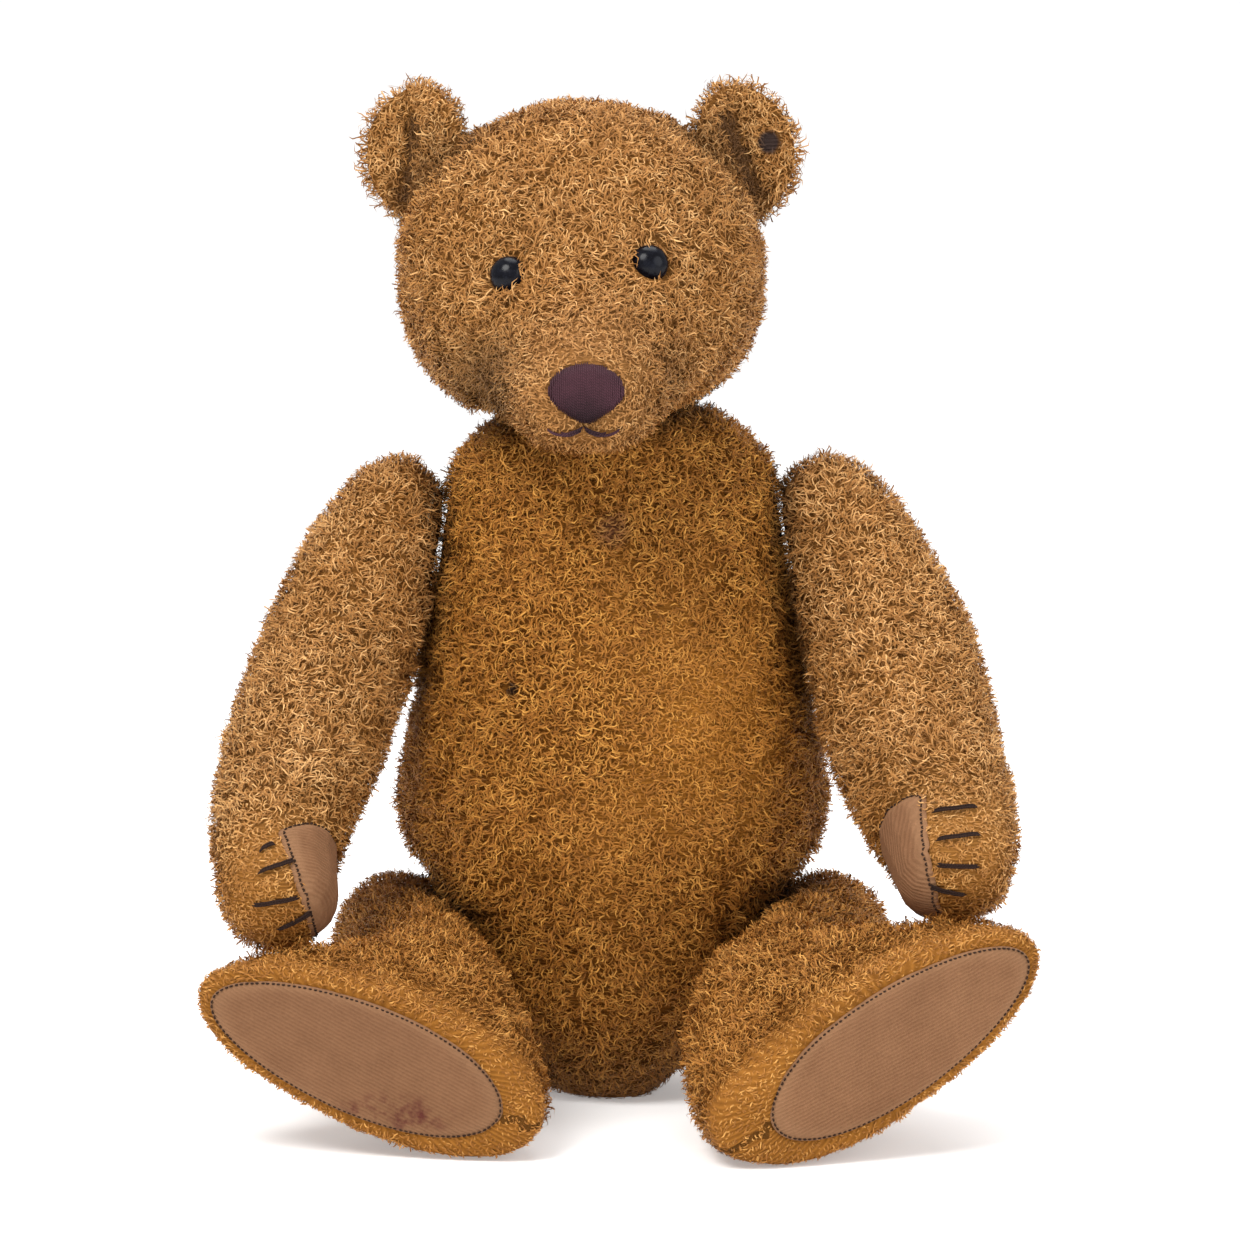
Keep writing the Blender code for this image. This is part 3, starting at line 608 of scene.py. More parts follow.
thighMove = {
    "by": 5.0,
    "within": 41.0,
    "withinFade": 12.0,
    "below": 80.0,
    "belowFade": 20.0,
    "forward": (42, 62),
}
bags = {"torso": ("torso", "torso"), "head": ("head", "head")}
for side in ("left", "right"):
    bags[side + "_ear"] = ("head", "ear")
    bags[side + "_arm"] = (side + "_arm", "arm")
    bags[side + "_leg"] = (side + "_leg", "leg")


def outerSkin(name, body):
    shape = bmesh.new()
    shape.from_mesh(nodes[name].data)
    bmesh.ops.remove_doubles(shape, verts=shape.verts, dist=1e-6)
    for at, axis in hingesOf(body):
        at, axis, reach = Vector(at * mm), Vector(axis), bagLook["bore"] * mm
        inBore = {v for v in shape.verts if ((v.co - at) - (v.co - at).dot(axis) * axis).length < reach}
        walls = [f for f in shape.faces if all(v in inBore for v in f.verts)]
        bmesh.ops.delete(shape, geom=walls, context="FACES")
    islands = []
    left = set(shape.faces)
    while left:
        island = {left.pop()}
        edge = list(island)
        while edge:
            face = edge.pop()
            for link in face.edges:
                for other in link.link_faces:
                    if other in left:
                        left.discard(other)
                        island.add(other)
                        edge.append(other)
        islands.append(island)
    outer = max(islands, key=lambda faces: sum(f.calc_area() for f in faces))
    bmesh.ops.delete(shape, geom=[f for f in shape.faces if f not in outer], context="FACES")
    bmesh.ops.holes_fill(shape, edges=[e for e in shape.edges if e.is_boundary], sides=0)
    bmesh.ops.triangulate(shape, faces=[f for f in shape.faces if len(f.verts) > 4])
    mesh = bpy.data.meshes.new(name + "Cloth")
    shape.to_mesh(mesh)
    shape.free()
    return mesh


def applied(obj):
    whole = obj.evaluated_get(bpy.context.evaluated_depsgraph_get())
    mesh = bpy.data.meshes.new_from_object(whole)
    obj.modifiers.clear()
    old = obj.data
    obj.data = mesh
    bpy.data.meshes.remove(old)


def closeTo(other, points, reach):  # which points are near another bag's box
    low, high = (np.array(corner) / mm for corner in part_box(other))
    return ((points > low - reach) & (points < high + reach)).all(1).nonzero()[0]


def roomOver(name, roots, normals, reach=10.0):  # how far another bag is, straight out of the cloth
    room = np.full(len(roots), 99.0)
    for other in bags:
        if other == name:
            continue
        surface = tree(other)
        for i in closeTo(other, roots, reach):
            away = surface.ray_cast(Vector(roots[i] + normals[i] * 0.05), Vector(normals[i]), reach)[3]
            if away is not None:
                room[i] = min(room[i], away)
    return room


def makeBag(name):
    body, kind = bags[name]
    look = bagLook[kind]
    cloth = placed(name + "Cloth", outerSkin(name, body))
    remesh = cloth.modifiers.new("remesh", "REMESH")
    remesh.mode = "VOXEL"
    remesh.voxel_size = look["voxel"] * mm
    remesh.use_smooth_shade = True
    relax = cloth.modifiers.new("relax", "SMOOTH")
    relax.factor = bagLook["relax"]
    relax.iterations = bagLook["smoothing"]
    applied(cloth)
    points, normals = meshPoints(cloth.data), meshNormals(cloth.data)
    lumps = (waves(points, look["lumpSize"], 11) * 0.5 - 0.5).clip(-1.2, 0) * look["lump"]
    lumps *= (1 - nearHinge(points, body)) * smooth(points[:, 2], *bagLook["lumpsAbove"])
    room = roomOver(name, points, normals)
    press = look["press"] * room * (1 - smooth(room, *bagLook["pressRoom"]))  # bags swell toward each other
    press *= smooth(points[:, 2], *bagLook["pressAbove"])
    lumps = np.where(press > 0, press * (1 - nearHinge(points, body, 0.5)), lumps)
    points = points + normals * lumps[:, None]
    x, y, z = points.T
    if name == "torso":
        move = seatMove
        points[:, 0] -= move["by"] * smooth(move["below"] - z, 0, move["fade"]) * smooth(x, *move["across"])
    elif name == "left_leg":  # bulges where the seat is drawn in
        move = thighMove
        low = smooth(move["below"] - z, 0, move["belowFade"]) * smooth(-y, *move["forward"])
        points[:, 0] -= move["by"] * smooth(move["within"] - x, 0, move["withinFade"]) * low
    points[:, 2] = np.maximum(points[:, 2], 0.05)
    cloth.data.vertices.foreach_set("co", (points * mm).ravel())
    cloth.data.update()
    return cloth


cloths = {name: makeBag(name) for name in bags}
print("bags stuffed:", sum(len(c.data.polygons) for c in cloths.values()), "faces")


# the pile: curled locks of mohair, grown from the bags

lockLook = {
    "perSquare": {"torso": 1.42, "head": 1.43, "arm": 1.38, "leg": 1.18, "ear": 1.85},  # on a square mm
    "length": 5.0,
    "width": 0.4,
    "rise": (60.0, 25.0, -8.0),  # degrees above the cloth, root to tip
    "riseSpread": 16.0,
    "flatRise": (28.0, 9.0, -6.0),
    "curl": 56.0,  # degrees that each third turns
    "curlRange": (0.35, 1.35),
    "lengthRange": (0.72, 1.2),
    "lockSize": 3.2,
    "lockTurn": 0.75,
    "patchSize": 30.0,
    "patchTurn": 2.6,
    "spread": 0.95,  # radians
    "rooted": 0.25,  # mm below the cloth
    "tightRoom": (0.4, 1.8),  # where two bags press the pile between them
    "tightFlat": 0.75,
    "tightShort": 0.3,
    "bulge": 0.55,  # how far the shading of a strand is rounded
    "floor": 0.12,
}
toneLook = {
    "fine": {"much": 0.08, "size": 2.6},
    "slow": {"much": 0.07, "size": 14.0},
    "spread": 0.26,
    "calm": 0.6,  # less spread where the pile lies flat
    "rows": 0.3,
}
bearMarks = {
    "nose": (-6.8, 196.2, 9.9, 8.6),  # x, z and half sizes, seen from the front
    "eyes": ((-27.2, 224.9, 4.9), (9.9, 227.9, 5.7)),
    "mouth": (-7.5, 185.6, 9.6, 0.9),  # x and z of the middle, then how far the corners reach out and up
    "muzzleTip": (-8.0, -82.0, 198.0),
    "hole": (-27.0, 113.6, 1.9, 1.1),
    "earSpot": (42.5, 257.0, 2.5),
    "earFolds": (  # both ends, then where the groove starts and stops to fade
        ((-53.3, 262.0, -56.0, 242.0), 0.55, 4.2),
        ((30.0, 264.0, 38.5, 243.0), 0.8, 5.2),
    ),
    "frontSeam": -9.5,
    "belly": (17, 104, 36, 58),
    "back": 3.0,  # y behind which the pile is thinner, in a piece of its own
}
clawLines = {  # x and z of both ends
    "right": [
        (-92.0, 76.5, -87.8, 78.4),
        (-92.5, 71.3, -82.0, 74.6),
        (-93.9, 63.1, -81.2, 65.3),
        (-87.6, 56.4, -77.2, 61.8),
    ],
    "left": [
        (83.2, 86.4, 95.8, 87.6),
        (84.0, 79.9, 96.2, 81.2),
        (84.0, 73.7, 95.8, 73.3),
        (81.6, 68.2, 92.4, 65.6),
    ],
}


def lineGap(points, ends):  # distance in the front view from a short line
    a, b = np.array(ends[:2]), np.array(ends[2:])
    flat = points[:, (0, 2)]
    t = np.clip((flat - a) @ (b - a) / ((b - a) @ (b - a)), 0, 1)
    return np.linalg.norm(flat - a - t[:, None] * (b - a), axis=1)


def plainCoat(points):  # keep and long are shares, the rest go from 0 to 1, toward is a direction
    count = len(points)
    return {
        "keep": np.ones(count),
        "long": 1 + 0.14 * waves(points, 9.0, 5),
        "flat": np.zeros(count),
        "pull": np.zeros(count),
        "toward": np.zeros((count, 3)),
        "bare": np.zeros(count),
        "shade": np.zeros(count),
        "gloom": np.zeros(count),
        "warm": np.full(count, 0.12),
    }


def wear(coat, look, mask):  # one mark on the pile; shorter or shade below 0 is longer or lighter
    coat["long"] *= 1 - look.get("shorter", 0) * mask
    coat["keep"] *= 1 - look.get("thinner", 0) * mask
    coat["shade"] += look.get("shade", 0) * mask
    for label in ("flat", "pull", "bare", "gloom"):
        coat[label] = np.maximum(coat[label], look.get(label, 0) * mask)


def flatWays(x, z):  # directions in the front view
    return np.stack([x, np.zeros(len(x)), z], axis=1)


torsoLook = {
    "belly": {"waver": 0.16, "fade": (0.3, 1.05), "shorter": 0.24, "flat": 0.5, "thinner": 0.1, "bare": 0.7},
    "seam": {"half": 1.6, "pull": 0.55, "shorter": 0.2},
    "seat": {"flat": (2.0, 12.0), "shadedBelow": (4.0, 34.0), "gloom": 0.45, "thin": (0.5, 3.0), "thinner": 0.55},
    "hole": {"margin": 0.3, "rim": 1.7, "pull": 0.5},
    "backKeep": 0.74,
}


def torsoCoat(points, normals, side):
    coat = plainCoat(points)
    x, y, z = points.T
    front = smooth(-normals[:, 1], 0.1, 0.6)
    look = torsoLook["belly"]
    bx, bz, bw, bh = bearMarks["belly"]
    away = np.hypot((x - bx) / bw, (z - bz) / bh) + look["waver"] * waves(points, 24.0, 41)
    wear(coat, look, (1 - smooth(away, *look["fade"])) * front)  # rubbed short
    coat["keep"] *= np.where(y > bearMarks["back"], torsoLook["backKeep"], 1.0)
    coat["warm"][:] = 1.0
    look = torsoLook["seam"]
    wear(coat, look, np.exp(-(((x - bearMarks["frontSeam"]) / look["half"]) ** 2)) * front)
    coat["toward"][:, 0] = np.sign(x - bearMarks["frontSeam"])
    look = torsoLook["seat"]
    coat["flat"] = np.maximum(coat["flat"], 1 - smooth(z, *look["flat"]))
    # painted shade low on the seat, stronger toward the floor
    coat["gloom"] = look["gloom"] * (1 - smooth(z, *look["shadedBelow"])) ** 1.3
    coat["keep"] *= 1 - look["thinner"] * (1 - smooth(z, *look["thin"]))
    look = torsoLook["hole"]
    hx, hz, hw, hh = bearMarks["hole"]
    toHole = np.hypot((x - hx) / (hw + look["margin"]), (z - hz) / (hh + look["margin"]))
    coat["keep"][(toHole < 1) & (y < 0)] = 0
    rim = (toHole < look["rim"]) & (y < 0)
    coat["toward"] = np.where(rim[:, None], flatWays(x - hx, z - hz), coat["toward"])
    coat["pull"][rim] = look["pull"]
    return coat


headLook = {
    "shade": 0.09,
    "muzzle": {"fade": (8.0, 34.0), "shorter": 0.4, "flat": 0.5, "bare": 0.25, "shade": -0.03},
    "nose": {"before": -60, "taper": 0.45, "inside": 0.94, "ring": (1.0, 1.9), "pull": 0.3},
    "eye": {"before": -8, "inside": 0.5, "ring": 3.2, "pull": 0.5, "shorter": -0.08, "shade": 0.1},
    "overEye": {"above": 1.0, "way": (0.25, 0, -1.0)},  # a few strands hang over each button
    "mouth": {"gap": 0.6, "fade": 2.4, "shorter": 0.35},
}


def headCoat(points, normals, side):
    coat = plainCoat(points)
    x, y, z = points.T
    look = headLook["muzzle"]
    fromTip = np.linalg.norm(points - bearMarks["muzzleTip"], axis=1)
    coat["shade"] += headLook["shade"]
    wear(coat, look, 1 - smooth(fromTip, *look["fade"]))
    look = headLook["nose"]
    nx, nz, nw, nh = bearMarks["nose"]
    front = y < look["before"]
    below = 1 - look["taper"] * np.clip((nz - z) / nh, 0, 1)
    toNose = np.hypot((x - nx) / (nw * below), (z - nz) / nh)
    coat["keep"][(toNose < look["inside"]) & front] = 0
    coat["toward"] = unit(flatWays(x - nx, z - nz))
    wear(coat, look, (1 - smooth(toNose, *look["ring"])) * front)
    look, over = headLook["eye"], headLook["overEye"]
    for ex, ez, reach in bearMarks["eyes"]:
        gap = np.hypot(x - ex, z - ez)
        facing = y < look["before"]
        coat["keep"][(gap < reach - look["inside"]) & facing] = 0
        ring = (1 - smooth(gap, reach, reach + look["ring"])) * facing
        wear(coat, look, ring)
        way = np.where((z > ez - 1.5) & (ex < 0), -1.0, 1.0)  # it closes in on the deeper right button
        outward = way[:, None] * unit(flatWays(x - ex, z - ez))
        outward = np.where((z > ez + over["above"])[:, None], [over["way"]], outward)
        coat["toward"] = np.where(ring[:, None] > 0.05, outward, coat["toward"])
    look = headLook["mouth"]
    mx, mz, reach, rise = bearMarks["mouth"]
    for way in (-1, 1):
        gap = lineGap(points, (mx, mz, mx + way * reach, mz + rise))
        coat["keep"][(gap < look["gap"]) & front] = 0
        wear(coat, look, (1 - smooth(gap, look["gap"], look["fade"])) * front)
    return coat


earLook = {
    "long": 1.18,
    "frontShorter": 0.3,
    "fold": {"waver": 0.7, "shorter": 0.55, "flat": 0.6, "shade": 0.5, "gloom": 0.72},
    "spot": {"ring": 2.5, "pull": 0.7, "shorter": 0.3},
}


def earCoat(points, normals, side):
    coat = plainCoat(points)
    front = smooth(-normals[:, 1], -0.1, 0.5)
    coat["long"] *= earLook["long"] - earLook["frontShorter"] * front
    look = earLook["fold"]
    # painted shade and shorter, flatter pile in the grooves of the folds
    for fold, near, far in bearMarks["earFolds"]:
        gap = lineGap(points, fold) + look["waver"] * waves(points, 3.0, 51)
        wear(coat, look, (1 - smooth(gap, near, far)) * front)
    look = earLook["spot"]
    ex, ez, reach = bearMarks["earSpot"]
    gap = np.hypot(points[:, 0] - ex, points[:, 2] - ez)
    coat["keep"][(gap < reach) & (normals[:, 1] < 0)] = 0
    wear(coat, look, (1 - smooth(gap, reach, reach + look["ring"])) * (normals[:, 1] < 0))
    coat["toward"] = points - np.array([[ex, 0, ez]])
    return coat


armLook = {
    "palm": {"facing": 0.05, "margin": 1.0, "edge": 0.92, "forward": 0.2},
    "rim": {"fade": (1.0, 1.35), "shorter": 0.4, "pull": 0.45},
    "paw": {"fade": (9.0, 24.0), "shorter": 0.5, "flat": 0.75, "bare": 0.9},
    "warm": {"below": 95.0, "fade": 40.0, "much": 0.6},
    "clawGap": 0.35,
}


def armCoat(points, normals, side):
    coat = plainCoat(points)
    pad = pads[side + "Paw"]
    look = armLook["palm"]
    reach, height = padReach(pad, points)
    palm = (normals @ pad["normal"] > look["facing"]) & (height > -pad["deep"] - look["margin"])
    forward = smooth(-unit(points - pad["middle"])[:, 1], 0.0, 0.6)  # on the side of the claws
    coat["keep"][(reach < look["edge"] - look["forward"] * forward) & palm] = 0
    look = armLook["rim"]
    wear(coat, look, (1 - smooth(reach, *look["fade"])) * palm)
    coat["toward"] = unit(pad["middle"] - points)  # combed over the seam
    look = armLook["paw"]
    clawMiddle = np.mean([[(a + c) / 2, (b + d) / 2] for a, b, c, d in clawLines[side]], axis=0)
    toClaws = np.linalg.norm(points[:, (0, 2)] - clawMiddle, axis=1)
    wear(coat, look, (1 - smooth(toClaws, *look["fade"])) * smooth(-normals[:, 1], 0, 0.4))
    warm = armLook["warm"]
    coat["warm"] += warm["much"] * smooth(warm["below"] - points[:, 2], 0.0, warm["fade"])
    for ends in clawLines[side]:
        coat["keep"][(lineGap(points, ends) < armLook["clawGap"]) & (normals[:, 1] < 0)] = 0
    return coat


legLook = {
    "solePlane": -5.0,
    "rim": {"fade": (-22.0, -7.0), "shorter": 0.5, "flat": 0.8, "pull": 0.62, "shade": 0.08, "bare": 0.75},
    "heel": {"fade": (8.0, 30.0), "thinner": 0.2, "shorter": 0.2, "bare": 1.0},
    "seat": (1.0, 5.0),
    "warm": 0.8,
}


def legCoat(points, normals, side):
    coat = plainCoat(points)
    pad = pads[side + "Foot"]
    reach, height = padReach(pad, points)
    sole = height > legLook["solePlane"]
    coat["keep"][(reach < 1.0) & sole] = 0
    look = legLook["rim"]
    rim = smooth(height, *look["fade"])
    wear(coat, look, rim)
    coat["toward"] = np.where(sole[:, None], unit(points - pad["middle"]), -pad["normal"])
    look = legLook["heel"]
    wear(coat, look, smooth(-(points - pad["middle"]) @ pad["long"], *look["fade"]) * rim)
    coat["flat"] = np.maximum(coat["flat"], 1 - smooth(points[:, 2], *legLook["seat"]))
    coat["warm"][:] = legLook["warm"]
    return coat


coats = {"torso": torsoCoat, "head": headCoat, "ear": earCoat, "arm": armCoat, "leg": legCoat}


def coatOf(name, points, normals):
    return coats[bags[name][1]](points, normals, name.split("_")[0])


def scatter(mesh, perSquare, rng):  # evenly: each face takes the next places of one well spread series
    points, normals = meshPoints(mesh), meshNormals(mesh)
    corners = np.array([(*p.vertices[:], p.vertices[0])[:4] for p in mesh.polygons])
    a, b, c, d = (points[corners[:, i]] for i in range(4))
    areas = sum(np.linalg.norm(np.cross(p - a, q - a), axis=1) for p, q in ((b, c), (c, d))) / 2
    run = np.cumsum(areas * perSquare)
    count = int(run[-1])
    picks = np.searchsorted(run, np.arange(count) + rng.random(count) * 0.5).clip(0, len(run) - 1)
    u = (0.7548777 * np.arange(count) + rng.uniform(0, 0.10, count)) % 1
    v = (0.5698403 * np.arange(count) + rng.uniform(0, 0.10, count)) % 1
    share = np.stack([(1 - u) * (1 - v), u * (1 - v), u * v, (1 - u) * v], axis=1)[:, :, None]
    return (points[corners[picks]] * share).sum(1), unit((normals[corners[picks]] * share).sum(1))


def strandPaths(roots, normals, coat, room, rng):
    look = lockLook
    count = len(roots)
    up = np.where(np.abs(normals[:, 2:]) > 0.9, [[0.0, 1.0, 0.0]], [[0.0, 0.0, 1.0]])
    across = unit(np.cross(up, normals))
    lift = np.cross(normals, across)
    heading = look["patchTurn"] * waves(roots, look["patchSize"], 21)
    heading += look["lockTurn"] * waves(roots, look["lockSize"], 22)
    heading += rng.normal(0, look["spread"], count)
    curlWay = np.where(waves(roots, look["lockSize"] * 1.7, 23) + rng.normal(0, 0.6, count) > 0, 1, -1)
    curl = np.radians(look["curl"]) * curlWay * rng.uniform(*look["curlRange"], count)
    toward = coat["toward"] - (coat["toward"] * normals).sum(1)[:, None] * normals
    length = look["length"] * np.clip(coat["long"], 0.2, 1.3) * rng.uniform(*look["lengthRange"], count)
    flat = coat["flat"][:, None]
    rises = np.array(look["rise"])[None] * (1 - flat) + np.array(look["flatRise"])[None] * flat
    rises = np.radians(rises + rng.normal(0, look["riseSpread"], (count, 3)) * (1 - 0.5 * flat))
    tight = 1 - smooth(room, *look["tightRoom"])
    rises *= 1 - look["tightFlat"] * tight[:, None]
    length *= 1 - look["tightShort"] * tight
    stations = [roots - normals * look["rooted"]]
    headings = []
    for step in range(3):
        turn = heading + curl * step
        flow = np.cos(turn)[:, None] * across + np.sin(turn)[:, None] * lift
        pull = coat["pull"][:, None] * (1.0 if step == 0 else 0.75)
        flow = unit(flow * (1 - pull) + unit(toward) * pull)
        run = flow * np.cos(rises[:, step])[:, None] + normals * np.sin(rises[:, step])[:, None]
        stations.append(stations[-1] + run * (length / 3)[:, None])
        headings.append(run)
    return stations, headings


def strandMesh(name, stations, headings, normals, marks, body):
    count = len(normals)
    rng = np.random.default_rng(len(name) * 101)
    width = lockLook["width"] * rng.uniform(0.75, 1.25, count)[:, None] / 2
    points, pointNormals = [stations[0]], [normals]
    for step, share in ((1, 1.0), (2, 0.85)):
        run = unit(headings[step] + headings[step - 1])
        side = unit(np.cross(run, normals))
        face = unit(np.cross(side, run))
        for way in (-1, 1):
            points.append(stations[step] + side * way * width * share)
            pointNormals.append(unit(face + side * way * lockLook["bulge"]))
    points.append(stations[3])
    pointNormals.append(unit(np.cross(unit(np.cross(headings[2], normals)), headings[2])))
    points = np.stack(points, axis=1).reshape(-1, 3)
    points[:, 2] = np.maximum(points[:, 2], lockLook["floor"])
    pointNormals = np.stack(pointNormals, axis=1).reshape(-1, 3)
    pattern = np.array([(0, 2, 1), (1, 2, 4), (1, 4, 3), (3, 4, 5)])
    corners = (pattern[None] + np.arange(count)[:, None, None] * 6).ravel()
    mesh = bpy.data.meshes.new(name)
    mesh.vertices.add(len(points))
    mesh.vertices.foreach_set("co", (points * mm).astype(np.float32).ravel())
    mesh.loops.add(len(corners))
    mesh.loops.foreach_set("vertex_index", corners.astype(np.int32))
    mesh.polygons.add(count * 4)
    mesh.polygons.foreach_set("loop_start", np.arange(count * 4, dtype=np.int32) * 3)
    mesh.update(calc_edges=True)
    mesh.shade_smooth()
    along = np.tile([0.0, 0.36, 0.36, 0.7, 0.7, 1.0], count)
    markPoints(mesh, {"along": along, **{label: np.repeat(values, 6) for label, values in marks.items()}})
    cells = math.ceil(math.sqrt(count))
    column, row = np.arange(count) % cells, np.arange(count) // cells
    spots = np.array([(0.5, 0.1), (0.14, 0.37), (0.86, 0.37), (0.14, 0.64), (0.86, 0.64), (0.5, 0.9)])
    places = (np.stack([column, row], axis=1)[:, None] + spots[None]).reshape(-1, 2) / cells
    layer = mesh.uv_layers.new(name="OFBake")
    layer.uv.foreach_set("vector", places[corners].astype(np.float32).ravel())
    mesh.normals_split_custom_set_from_vertices(pointNormals.astype(np.float32))
    mesh.materials.append(pileFinish)
    pile = placed(name, mesh)
    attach(pile, body)


cleftShade = {"ear": 0.4, "arm": 0.72, "leg": 0.95, "head": 0.85}  # how strong the painted shade is, by the piece that touches another
cleftReach = 11.0  # mm


def cleft(name, roots):  # how much painted shade the cloth gets where another bag is close
    kind = bags[name][1]
    gloom = np.zeros(len(roots))
    for other, (_, otherKind) in bags.items():
        pair = {kind, otherKind} - {"torso"}
        if other == name or not {"torso", "head"} & {kind, otherKind} or "arm" in pair and "head" in pair:
            continue
        surface = tree(other)
        strength = cleftShade["ear" if "ear" in pair else min(pair)]
        for i in closeTo(other, roots, cleftReach):
            gap = surface.find_nearest(Vector(roots[i]), cleftReach)[3]
            if gap is not None:
                gloom[i] = max(gloom[i], strength * (1 - max(gap - 2.0, 0) / (cleftReach - 2.0)) ** 1.1)
    return gloom


def clothRows(points, name):  # where the rows of the weave run, counted in rows
    kind = bags[name][1]
    if kind == "leg":
        pad = pads[name.split("_")[0] + "Foot"]
        offset = points - pad["middle"]
        angle = np.arctan2(offset @ pad["wide"] / pad["half"][1], offset @ pad["long"] / pad["half"][0])
        return angle * clothLook["spokes"]
    return points[:, 2] / clothLook["rib"]


def growPile(name, seed):
    body, kind = bags[name]
    rng = np.random.default_rng(seed)
    roots, normals = scatter(cloths[name].data, lockLook["perSquare"][kind], rng)
    coat = coatOf(name, roots, normals)
    wanted = coat["keep"] * (1 - nearHinge(roots, body, 0.35))
    kept = (rng.random(len(roots)) < wanted).nonzero()[0]
    room = roomOver(name, roots[kept], normals[kept])
    kept, room = kept[room > 0.1], room[room > 0.1]
    roots, normals = roots[kept], normals[kept]
    coat = {key: value[kept] for key, value in coat.items()}
    stations, headings = strandPaths(roots, normals, coat, room, rng)
    fine, slow = toneLook["fine"], toneLook["slow"]
    tones = 0.5 + fine["much"] * waves(roots, fine["size"], 31)
    tones += slow["much"] * waves(roots, slow["size"], 32)
    tones += rng.normal(0, toneLook["spread"], len(roots)) * (1 - toneLook["calm"] * coat["flat"])
    if kind == "leg":  # the rows of the weave show through round the sole
        tones += toneLook["rows"] * np.sin(clothRows(roots, name) * 2 * math.pi) * coat["bare"]
    tones = np.clip(tones - coat["shade"], 0, 1)
    # painted shade from the coat and from the clefts between bags
    gloom = np.maximum(coat["gloom"], cleft(name, roots))
    if kind == "torso":
        behind = roots[:, 1] > bearMarks["back"]
        pieces = (("Front", ~behind), ("Back", behind))
    else:
        pieces = (("", np.ones(len(roots), bool)),)
    for ending, part in pieces:
        label = name + "Pile" + ending
        marks = {"tone": tones[part], "warm": coat["warm"][part], "gloom": gloom[part]}
        strands = [s[part] for s in stations], [h[part] for h in headings]
        strandMesh(label, *strands, normals[part], marks, body)
    return len(roots)


def dressBag(name):
    body, kind = bags[name]
    cloth = cloths[name]
    points, normals = meshPoints(cloth.data), meshNormals(cloth.data)
    coat = coatOf(name, points, normals)
    # painted shade from the coat and from the clefts between bags
    gloom = np.maximum(coat["gloom"], cleft(name, points))
    rows = clothRows(points, name)
    markPoints(cloth.data, {"bare": coat["bare"], "warm": coat["warm"], "gloom": gloom, "row": rows})
    refinish(cloth.data, clothFinish)
    cloth.data.shade_smooth()
    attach(cloth, body)
    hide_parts(name)


for seed, name in enumerate(bags):
    print(name, "pile:", growPile(name, 400 + seed), "locks")
    dressBag(name)


# tubes for every thread


def tubeMesh(paths, radius, sides, plies=1.4):  # closed tubes with rounded ends, and where the plies run
    points, faces, ply = [], [], []
    for path in paths:
        path = np.asarray(path, float)
        runs = unit(np.gradient(path, axis=0))
        side = unit(np.cross(runs[0], [0.31, 0.17, 0.93]))
        first = len(points)
        gone = 0.0
        for i, (middle, run) in enumerate(zip(path, runs)):
            side = unit(side - (side @ run) * run)
            lift = np.cross(run, side)
            share = i / (len(path) - 1)
            thick = radius * math.sqrt(max(1 - (2 * share - 1) ** 6, 0.02))
            gone += 0 if i == 0 else np.linalg.norm(middle - path[i - 1])
            for k in range(sides):
                turn = 2 * math.pi * k / sides
                points.append(middle + thick * (math.cos(turn) * side + math.sin(turn) * lift))
                ply.append(gone * plies + k / sides * 2)
        faces += ringFaces(first, len(path) - 1, sides)
        faces.append(tuple(range(first + sides - 1, first - 1, -1)))
        faces.append(tuple(first + (len(path) - 1) * sides + k for k in range(sides)))
    return points, faces, ply


def addThread(name, paths, radius, material, body, sides):
    points, faces, ply = tubeMesh(paths, radius, sides)
    made = addObject(name, points, faces, material, body)
    markPoints(made.data, {"ply": ply})
    return made


# felt pads and the stitches round them


